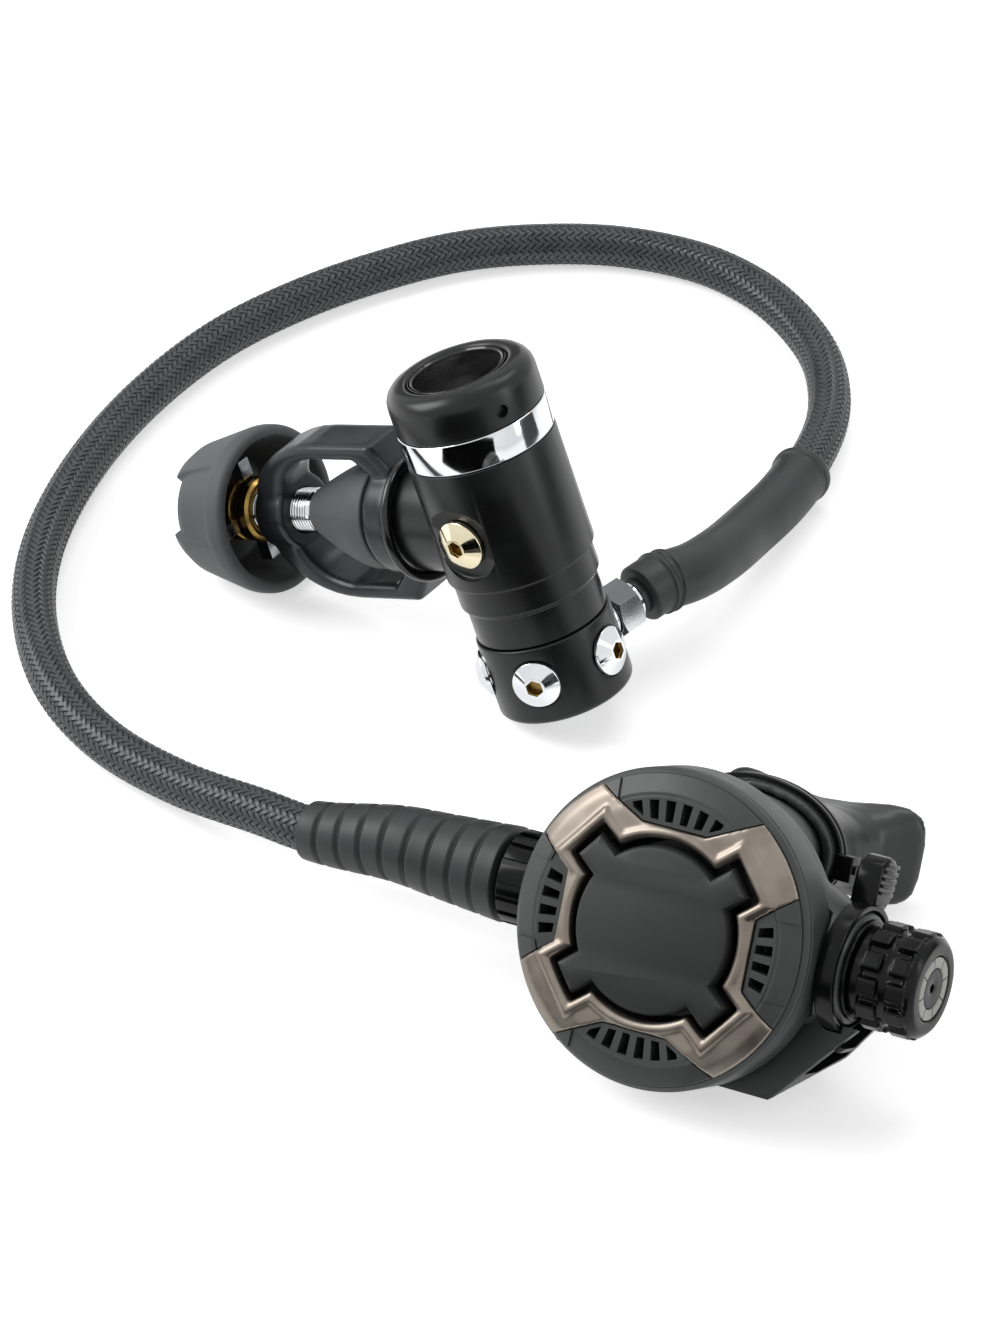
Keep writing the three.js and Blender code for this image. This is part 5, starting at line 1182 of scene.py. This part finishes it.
# %% [markdown]
# ## Inlet nut and adjustment knob
# The hose screws on with a ribbed nut. At the other end of the barrel a knob sets how easily the
# valve opens. It has two rows of rounded teeth with a smooth band between. The rows are rings of
# copies of one tooth, melted onto the turned core so that each tooth grows out of it with a fillet.

# %% Ribbed nut
NUT_FROM, NUT_TO, NUT_RADIUS = -52.3, -41.3, 12.4
inlet_nut = turned("inlet_nut_ribbed", [
    (0, NUT_FROM), (NUT_RADIUS, NUT_FROM, 0.9), (NUT_RADIUS, NUT_TO, 0.9), (8.5, NUT_TO),
    (8.5, NUT_FROM + 4), (0, NUT_FROM + 4)], 128)
groove = plate("groove", [[(-0.9, -0.8), (1.3, -1.0), (1.3, 1.0), (-0.9, 0.8)]], NUT_FROM - 1, NUT_TO - 1.6)
grooves = ring_of(groove, acetal, 16, NUT_RADIUS)
piece(combine("DIFFERENCE", inlet_nut, grooves), "inlet_nut_ribbed", acetal, "inlet_nut", "inlet_nut",
      at=BARREL, slot="dark_composite", sharp=30)

# %% Adjustment knob with two rows of teeth
KNOB_FROM, KNOB_TO = 47.4, 65.6
knob = turned("adjustment_knob_toothed", [
    (0, KNOB_FROM), (11.6, KNOB_FROM, 0.4), (11.6, 50.6), (12, 51, 0.4), (12, 62.2, 0.5), (12.9, 62.8, 0.5),
    (12.9, 64.3, 0.8), (11.4, KNOB_TO, 0.7), (8.4, KNOB_TO, 0.4), (8.4, 64), (0, 64)])
tooth_outline = [(-1.6, -2.5), (1.1, -2.0), (1.1, 2.0), (-1.6, 2.5)]
rows = []
for low, high in ((50.4, 55.7), (58.3, 63.4)):
    rows.append(ring_of(plate("tooth", [tooth_outline], low, high, 0.35), acetal, 12, 12.6, start=8))
knob = moulded(combine("UNION", knob, *rows), 0.34, 2)
knob = combine("DIFFERENCE", knob, bar(3.7, 46, 60.9, 48))
piece(knob, "adjustment_knob_toothed", acetal, "adjustment_knob", "adjustment_knob", at=BARREL,
      slot="rubber", sharp=60)

# %% End ring, end cap and base ring of the knob
end_ring = turned("knob_end_ring", [(5.3, 64.3), (8.1, 64.3), (8.1, 65.5, 0.3), (5.3, 65.5, 0.3)])
notch = plate("notch", [rectangle(5, -0.2, 9, 0.2)], 65, 66)
notches = ring_of(notch, spring_steel, 8, 0, start=20)
piece(combine("DIFFERENCE", end_ring, notches), "knob_end_ring", seat_grey, "adjustment_knob",
      "knob_end_disc", at=BARREL, slot="spring_steel", sharp=30)
end_cap = turned("knob_end_cap", [(1.1, 64.2), (5.1, 64.2), (5.1, 65.3, 0.4), (1.1, 65.1, 0.3)])
piece(end_cap, "knob_end_cap", acetal, "adjustment_knob", at=BARREL, slot="rubber")
base_ring = turned("knob_base_ring", [(8.6, 46.05), (12.9, 46.05), (12.9, 47.1, 0.4), (8.6, 47.1)])
piece(base_ring, "knob_base_ring", acetal, ROOT, at=BARREL, slot="rubber")

# %% [markdown]
# ## Case
# The case is one moulding: a bowl behind the cover, an oval tube for the mouthpiece and a boss at
# each end of the valve's barrel. The outer forms are joined and melted into one skin, which gives
# the saddle between boss and bowl. Its hollow and its bores are cut afterwards, so they stay true.

# %% Lofts through ovals
MOUTH_CENTRE = 21  # height of the mouthpiece's tube above the barrel


def oval(half_width, half_height, z, dip=0.0, bend=0.0, square=1.0, sides=80):
    """Points of an oval ring. Dip lowers its middle, bend pushes its ends along Z, and a lower
    value of square fills its corners."""
    points = []
    for i in range(sides):
        c, s = math.cos(TURN * i / sides), math.sin(TURN * i / sides)
        across, up = math.copysign(abs(c) ** square, c), math.copysign(abs(s) ** square, s)
        lowered = dip * (1 - across * across) ** 2 * (1 if s > 0 else -0.6)
        points.append((half_width * across, MOUTH_CENTRE + half_height * up - lowered,
                       z + bend * across * across))
    return points


def loft(name, rings, capped=False):
    """A closed surface through rings of points. Uncapped, its last ring joins the first."""
    sides = len(rings[0])
    pairs = list(zip(range(len(rings)), range(1, len(rings))))
    if not capped:
        pairs.append((len(rings) - 1, 0))
    faces = [(a * sides + j, a * sides + (j + 1) % sides, b * sides + (j + 1) % sides, b * sides + j)
             for a, b in pairs for j in range(sides)]
    if capped:
        faces += [list(range(sides)), [(len(rings) - 1) * sides + j for j in range(sides)]]
    return solid_of(name, [point for ring in rings for point in ring], faces)


print("an oval ring has", len(oval(1, 1, 0)), "points")

# %% Outer skin of the case
CASE_RADIUS, CASE_DEPTH, CASE_BACK, WALL = 37.8, 16, 27, 2.2
TUBE_WIDTH, TUBE_HEIGHT, TUBE_END = 20, 12.6, 34
INLET_BOSS_END, KNOB_BOSS_END, BOSS_OUTER = 41, 46, 14.6
EXHAUST_RADIUS, EXHAUST_CENTRE = 8, -11.5
MOUTH_IN_SECOND = along((0, 1, 0), UP)
BARREL_IN_SECOND = along((1, 0, 0), UP)
COVER_IN_SECOND = along((0, -1, 0), UP)
valve_hole = Matrix.Translation((0, EXHAUST_CENTRE, 0))

bowl = turned("case_moulded", [
    (0, -17), (CASE_RADIUS, -17), (CASE_RADIUS, 0, 4), (CASE_RADIUS - 5, 6, 3), (CASE_BACK, CASE_DEPTH, 3),
    (0, CASE_DEPTH)], 128)
tube = loft("tube", [
    oval(TUBE_WIDTH + 3, TUBE_HEIGHT + 2, 2), oval(TUBE_WIDTH + 1.4, TUBE_HEIGHT + 0.8, CASE_DEPTH),
    oval(TUBE_WIDTH, TUBE_HEIGHT, CASE_DEPTH + 3), oval(TUBE_WIDTH, TUBE_HEIGHT, TUBE_END)], True)
seat_rim = put(bar(EXHAUST_RADIUS + 2, CASE_DEPTH - 5, CASE_DEPTH + 1.4), valve_hole)
bosses = turned("bosses", [
    (0, -INLET_BOSS_END), (12.6, -INLET_BOSS_END, 0.8), (BOSS_OUTER, 2 - INLET_BOSS_END, 0.8),
    (BOSS_OUTER, -33, 4), (17.5, -26), (21, 22), (18.4, 33, 14), (BOSS_OUTER, 41, 5),
    (BOSS_OUTER, KNOB_BOSS_END, 1.4), (0, KNOB_BOSS_END)])
outside = combine("UNION", bowl, tube, seat_rim)
put(outside, MOUTH_IN_SECOND)
outside = moulded(combine("UNION", outside, put(bosses, BARREL_IN_SECOND)), 0.85, 9)
print("the outer skin has", len(outside.data.polygons), "faces")

# %% The case's hollow, its bores and the spokes of the exhaust seat
hollow = turned("hollow", [
    (0, -23), (CASE_RADIUS - WALL, -23), (CASE_RADIUS - WALL, 0, 3),
    (CASE_RADIUS - WALL - 5, 6 - WALL / 2, 2), (CASE_BACK - WALL, CASE_DEPTH - WALL, 2),
    (0, CASE_DEPTH - WALL)])
tube_bore = loft("bore", [oval(TUBE_WIDTH - WALL, TUBE_HEIGHT - WALL, 0),
                          oval(TUBE_WIDTH - WALL, TUBE_HEIGHT - WALL, TUBE_END + 1)], True)
valve_slots = put(turned("slots", rectangle(4, CASE_DEPTH - 8, 7, CASE_DEPTH + 3)), valve_hole)
under_ring = put(turned("under_ring", rectangle(CASE_RADIUS, 8.4, 41, 24)), COVER_IN_SECOND)
case = combine("DIFFERENCE", outside, put(hollow, MOUTH_IN_SECOND), put(tube_bore, MOUTH_IN_SECOND),
               put(valve_slots, MOUTH_IN_SECOND), put(bar(8.5, -60, 60), BARREL_IN_SECOND), under_ring)
seat_spokes = combine("UNION", plate("spoke", [rectangle(-1, -7.5, 1, 7.5)], 14, 16),
                      plate("spoke", [rectangle(-7.5, -1, 7.5, 1)], 14, 16))
case = combine("UNION", case, put(put(seat_spokes, valve_hole), MOUTH_IN_SECOND))
piece(case, "case_moulded", case_nylon, ROOT, "case", at=SECOND, slot="dark_composite", sharp=40)

# %% [markdown]
# ## Exhaust cover
# A hollow wedge under the case leads the bubbles away to both sides of the face. Three outlines,
# seen from the front, the side and above, each raised and intersected, give the wedge. The same
# block made smaller is its hollow, which opens at both ends as the outlets.

# %% Wedge from three outlines
FRONT_VIEW = Matrix(((1, 0, 0, 0), (0, 0, -1, 0), (0, 1, 0, 0), (0, 0, 0, 1)))
SIDE_VIEW = Matrix(((0, 0, 1, 0), (1, 0, 0, 0), (0, 1, 0, 0), (0, 0, 0, 1)))
WEDGE_FOOT = -37.4


def mirrored(half):
    """Closes an outline that was given for one side of the middle."""
    return half + [(-x, y) for x, y in reversed(half)]


def wedge_block(inset):
    """The wedge, or its hollow where it is inset."""
    front = mirrored([(30 - inset, WEDGE_FOOT + inset), (52 + inset * 3, -12 - inset * 1.2),
                      (46 + inset * 3, -7 - inset), (24, 1 - inset)])
    side = [(inset - 5, WEDGE_FOOT + inset * 1.6), (24 - inset, -18.4 + inset * 1.2), (24 - inset, 2),
            (inset - 5, 2)]
    plan = mirrored([(61, -6), (61, 1 - inset * 1.2), (24 - inset * 2, 25)])
    return combine("INTERSECT", put(plate("wedge", [front], -25, 6), FRONT_VIEW),
                   put(plate("side", [side], -80, 80), SIDE_VIEW), plate("plan", [plan], -60, 20))


wedge = moulded(wedge_block(0), 0.7, 4)
rib = plate("rib", [rectangle(-60, -3, 60, 3)], -21.2, -19.8)
rib = combine("INTERSECT", rib, wedge_block(0.8))
wedge = combine("UNION", combine("DIFFERENCE", wedge, wedge_block(2)), rib)
print("the hollow wedge has", len(wedge.data.polygons), "faces")

# %% Room for the case, its valve and its bosses
clear_of_case = turned("clear", [
    (0, -23), (COVER_RADIUS + 0.3, -23), (COVER_RADIUS + 0.3, 0.3 - RING_BACK), (38.1, 0.3 - RING_BACK),
    (38.1, 0.2), (33.2, 6.4), (27.4, CASE_DEPTH + 0.4), (0, CASE_DEPTH + 0.4)])
clear_of_valve = put(bar(10.3, 0, 21.4), valve_hole)
clear_of_boss = turned("clear_boss", [
    (0, -70), (14.9, -70), (14.9, 40.4), (16.9, 40.4), (16.9, 45.9), (14.9, 45.9), (14.9, 70), (0, 70)])
left_tip = put(bar(30, 43.5, 70), BARREL_IN_SECOND)
put(left_tip, Matrix.Rotation(math.pi, 4, "Z"))
wedge = combine("DIFFERENCE", wedge, put(clear_of_case, MOUTH_IN_SECOND),
                put(clear_of_valve, MOUTH_IN_SECOND), put(clear_of_boss, BARREL_IN_SECOND), left_tip)
piece(wedge, "exhaust_cover_wedge", case_nylon, ROOT, "exhaust_cover", at=SECOND, slot="dark_composite",
      sharp=40)

# %% [markdown]
# ## Venturi lever
# The lever on the knob's boss turns a small vane in the air flow. It is glossy black, with grip
# ridges on its outer side.

# %% Lever with grip ridges
LEVER_TURN = Matrix.Rotation(math.radians(-8), 4, "Z")
RIDGE_FROM, RIDGE_PITCH, RIDGES = 19.4, 1.8, 5
handle = plate("venturi_lever_glossy", [[
    (-4, 15.6), (4, 15.6), (5.6, 18), (6.4, 20.5), (6.2, 23.5), (5, 26.6), (3, 28.1), (0.6, 28.6),
    (-1.6, 28.1), (-3.6, 26.2), (-4.7, 23.4), (-4.6, 19)]], 39.4, 46.4, 1.1, 4)
collar = turned("collar", [(14.9, 40.7, 0.3), (16.6, 40.7, 0.5), (16.6, 45.6, 0.5), (14.9, 45.6, 0.3)])
ridges = [put(plate("ridge", [rectangle(-3.2, -0.45, 4.6, 0.45)], 45.8, 47.1, 0.3),
              Matrix.Translation((0, RIDGE_FROM + RIDGE_PITCH * i, 0))) for i in range(RIDGES)]
lever = combine("UNION", handle, collar, *ridges)
lever = combine("DIFFERENCE", lever, bar(14.9, 36, 50))
piece(lever, "venturi_lever_glossy", acetal, "venturi_lever", "venturi_lever", slot="dark_composite",
      at=BARREL @ LEVER_TURN, sharp=35)

# %% [markdown]
# ## Mouthpiece
# The mouthpiece is soft silicone. An oval tube grips the case, narrows, and opens to a wide flange
# that fits behind the lips, with two tabs to bite on. The flange dips at its middle and curves round
# the face at its ends. A loft through ovals gives the tube and flange, and the tabs are melted on.

# %% Silicone mouthpiece
MOUTHPIECE_END = 61
MOUTH_RINGS = [  # half width, half height, place along the tube, then dip, bend and squareness
    (23.2, 15.2, 20), (23.2, 15.2, 29), (22.6, 14.6, 31), (20.6, 13.2, 37, 0, 0, 0.95),
    (19.6, 11.6, 43, 0.4, 0, 0.88), (19.8, 10.9, 48.5, 0.8, 0.3, 0.8), (22, 11.4, 53, 1.6, 0.9, 0.68),
    (26, 13, 56.4, 3, 1.8, 0.56), (29.4, 14.9, 58.8, 4.6, 2.8, 0.48), (29.8, 15, 60.6, 5, 3.2, 0.48),
    (28.6, 13.8, MOUTHPIECE_END + 0.3, 4.4, 3, 0.5), (20, 9.6, 59.6, 1.2, 1), (15.2, 8, 56, 0.4),
    (15, 8, 42), (20.3, 12.9, 34.3), (20.3, 12.9, 20)]
shell = loft("mouthpiece_silicone", [oval(*ring) for ring in MOUTH_RINGS])
tabs = []
for side in (-1, 1):
    bite = Matrix.Translation((side * 19, MOUTH_CENTRE, 0))
    tabs.append(put(plate("tab", [rectangle(-5.5, -1.3, 5.5, 1.3)], 59, 75, 0.9), bite))
    tabs.append(put(plate("tab", [rectangle(-5.5, -4, 5.5, 4)], 73.4, 76.2, 0.9), bite))
mouthpiece = moulded(combine("UNION", shell, *tabs), 0.8, 4)
piece(mouthpiece, "mouthpiece_silicone", silicone, ROOT, "mouthpiece", at=MOUTH, slot="silicone",
      sharp=60)

# %% Tie band round the mouthpiece
TIE_WIDTH, TIE_HEIGHT, TIE_FROM, TIE_TO = 23.5, 15.5, 22.5, 26.5
band_rings = [(1.0, 0), (1.4, 0.4), (1.4, 1.3), (0.9, 1.6), (0.9, 2.4), (1.4, 2.7), (1.4, 3.6), (1.0, 4),
              (0, 4), (0, 0)]
tie = loft("mouthpiece_tie_band", [
    oval(TIE_WIDTH + out, TIE_HEIGHT + out, TIE_FROM + up) for out, up in band_rings])
latch = [plate("latch", [rectangle(-2.4, -3.4, 2.4, 3.4)], TIE_FROM - 0.6, TIE_TO + 0.6, 0.5),
         plate("pawl", [rectangle(-3.2, -1.2, 3.2, 1.0)], TIE_FROM + 0.4, TIE_TO - 0.4, 0.4)]
for part in latch:
    put(part, Matrix.Translation((-TIE_WIDTH - 2.4, MOUTH_CENTRE - 1, 0)))
piece(combine("UNION", tie, *latch), "mouthpiece_tie_band", acetal, ROOT, "mouthpiece_tie", at=MOUTH,
      slot="dark_composite", sharp=40)

# %% [markdown]
# ## Finishes of the inner pieces
# Springs, seats and the valve's small parts stay as the model has them, because they hardly show.
# They still get the finish of what they are made of.

# %% Dress the solids that stay
stays = {
    brass: ("spring_adjuster", "spring_pad", "valve_lifter", "high_pressure_seat", "balance_plug",
            "orifice_seat"),
    spring_steel: ("main_spring", "high_pressure_spring", "purge_spring", "poppet_spring", "turret_bolt",
                   "demand_lever", "hose_ferrule"),
    chrome: ("yoke_retainer", "valve_barrel", "adjustment_shaft", "diaphragm_plate"),
    black_rubber: ("main_diaphragm", "turret_o_ring"), silicone: ("diaphragm", "exhaust_valve"),
    seat_polymer: ("high_pressure_poppet", "poppet", "venturi_vane"), sintered_bronze: ("inlet_filter",)}
dressed = 0
for material, names in stays.items():
    for name in names:
        solid = bpy.data.objects[name]
        for material_slot in solid.material_slots:
            material_slot.material = material
        dressed += 1
print(dressed, "solids keep their shape and get a finish")

# %% [markdown]
# ## Table and light
# The set lies on a plain white table. The table is a white surface that also glows a little to the
# camera, to gloss and to glass, so it comes out white without more light on the part, and the soft
# shadow still shows on it. Large soft lamps from the left and above stand in for the studio's boxes,
# and a weaker strip stands on the right.

# %% Floor and world
KEEPS_OUT = ("visible_camera", "visible_diffuse", "visible_shadow", "visible_transmission")


def sheet_of(name, corners, material):
    """A flat four-cornered backdrop in metres."""
    mesh = bpy.data.meshes.new(name)
    mesh.from_pydata(corners, [], [(0, 1, 2, 3)])
    mesh.materials.append(material)
    made = linked(name, mesh)
    return made


table_paint = bpy.data.materials.new("white_table_paint")
world = bpy.data.worlds.new("studio")
bpy.context.scene.world = world
paint, sky = fresh_tree(table_paint), fresh_tree(world)
seen = {}
for tree in (paint, sky):  # 1 for the eye, gloss and glass, 0 for diffuse light
    path = node(tree, "ShaderNodeLightPath").outputs
    either = node(tree, "ShaderNodeMath", {0: path["Is Camera Ray"], 1: path["Is Glossy Ray"]},
                  operation="MAXIMUM")
    seen[tree] = node(tree, "ShaderNodeMath", {0: either, 1: path["Is Transmission Ray"]},
                      operation="MAXIMUM")
TABLE_GLOW = 0.55
WORLD_LIGHT = 0.36
white = linear("#ffffff")
white_diffuse = node(paint, "ShaderNodeBsdfDiffuse", {"Color": linear("#f4f4f4")})
strength = node(paint, "ShaderNodeMath", {0: seen[paint], 1: TABLE_GLOW}, operation="MULTIPLY")
glow = node(paint, "ShaderNodeEmission", {"Color": white, "Strength": strength})
both = node(paint, "ShaderNodeAddShader", {0: white_diffuse, 1: glow})
node(paint, "ShaderNodeOutputMaterial", {"Surface": both})
REACH = 6
sheet_of("table", [(-REACH, -REACH, 0), (REACH, -REACH, 0), (REACH, REACH, 0), (-REACH, REACH, 0)],
         table_paint)

dim = node(sky, "ShaderNodeBackground", {"Color": white, "Strength": WORLD_LIGHT})
bright = node(sky, "ShaderNodeBackground", {"Color": white, "Strength": 1.0})
chosen = node(sky, "ShaderNodeMixShader", {0: seen[sky], 1: dim, 2: bright})
node(sky, "ShaderNodeOutputWorld", {"Surface": chosen})
print("a table", 2 * REACH, "m wide, and a world of strength", WORLD_LIGHT)

# %% [markdown]
# Chrome is a mirror, so in a white room it turns white and its shape is lost. Photographers stand
# black and grey cards round it, just outside the picture, and here only reflections can see them.
# The black one starts on the table in front of the set. The grey ones stand behind it, to its right
# and above it.

# %% Cards that only show in reflections
CARDS = {  # colour, and corners in metres
    "front_card": ("#080808", [
        (-0.14, -0.06, 0.001), (0.13, -0.25, 0.001), (1.1, -2, 0.3), (-1.4, -2, 0.3)]),
    "right_card": ("#4a4a4a", [
        (0.45, -0.1, 0), (0.45, 0.14, 0), (0.45, 0.14, 0.15), (0.45, -0.1, 0.15)]),
    "back_card": ("#242424", [
        (-0.6, 1.1, 0), (0.1, 1.1, 0), (0.1, 1.2, 0.4), (-0.6, 1.2, 0.4)]),
    "upper_card": ("#777777", [
        (-0.1, 0.5, 0.9), (0.3, 0.5, 0.9), (0.3, 0.85, 0.9), (-0.1, 0.85, 0.9)])}
for name, (colour, corners) in CARDS.items():
    velvet = bpy.data.materials.new(name + "_velvet")
    cloth = fresh_tree(velvet)
    shade = node(cloth, "ShaderNodeEmission", {"Color": linear(colour)})
    node(cloth, "ShaderNodeOutputMaterial", {"Surface": shade})
    card = sheet_of(name, corners, velvet)
    for way in KEEPS_OUT:
        setattr(card, way, False)
print(len(CARDS), "cards are seen by gloss only")

# %% Lamps
for name, at, target, size, power in (
        ("key_box", (-1.25, 0.15, 0.95), (0, 0, 0.03), (0.9, 0.9), 16),
        ("top_box", (0.3, 0.9, 1.6), (0, 0.05, 0), (1.2, 0.6), 9),
        ("side_strip", (1.4, -0.5, 0.7), (0, 0, 0.03), (0.25, 1.2), 4)):
    light = bpy.data.lights.new(name, "AREA")
    light.shape = "RECTANGLE"
    light.size, light.size_y = size
    light.energy = power  # watts
    lamp = linked(name, light)
    lamp.location = at
    lamp.rotation_euler = (Vector(target) - Vector(at)).to_track_quat("-Z", "Y").to_euler()
    print(name, power, "W")
bpy.context.scene.view_settings.view_transform = "Standard"
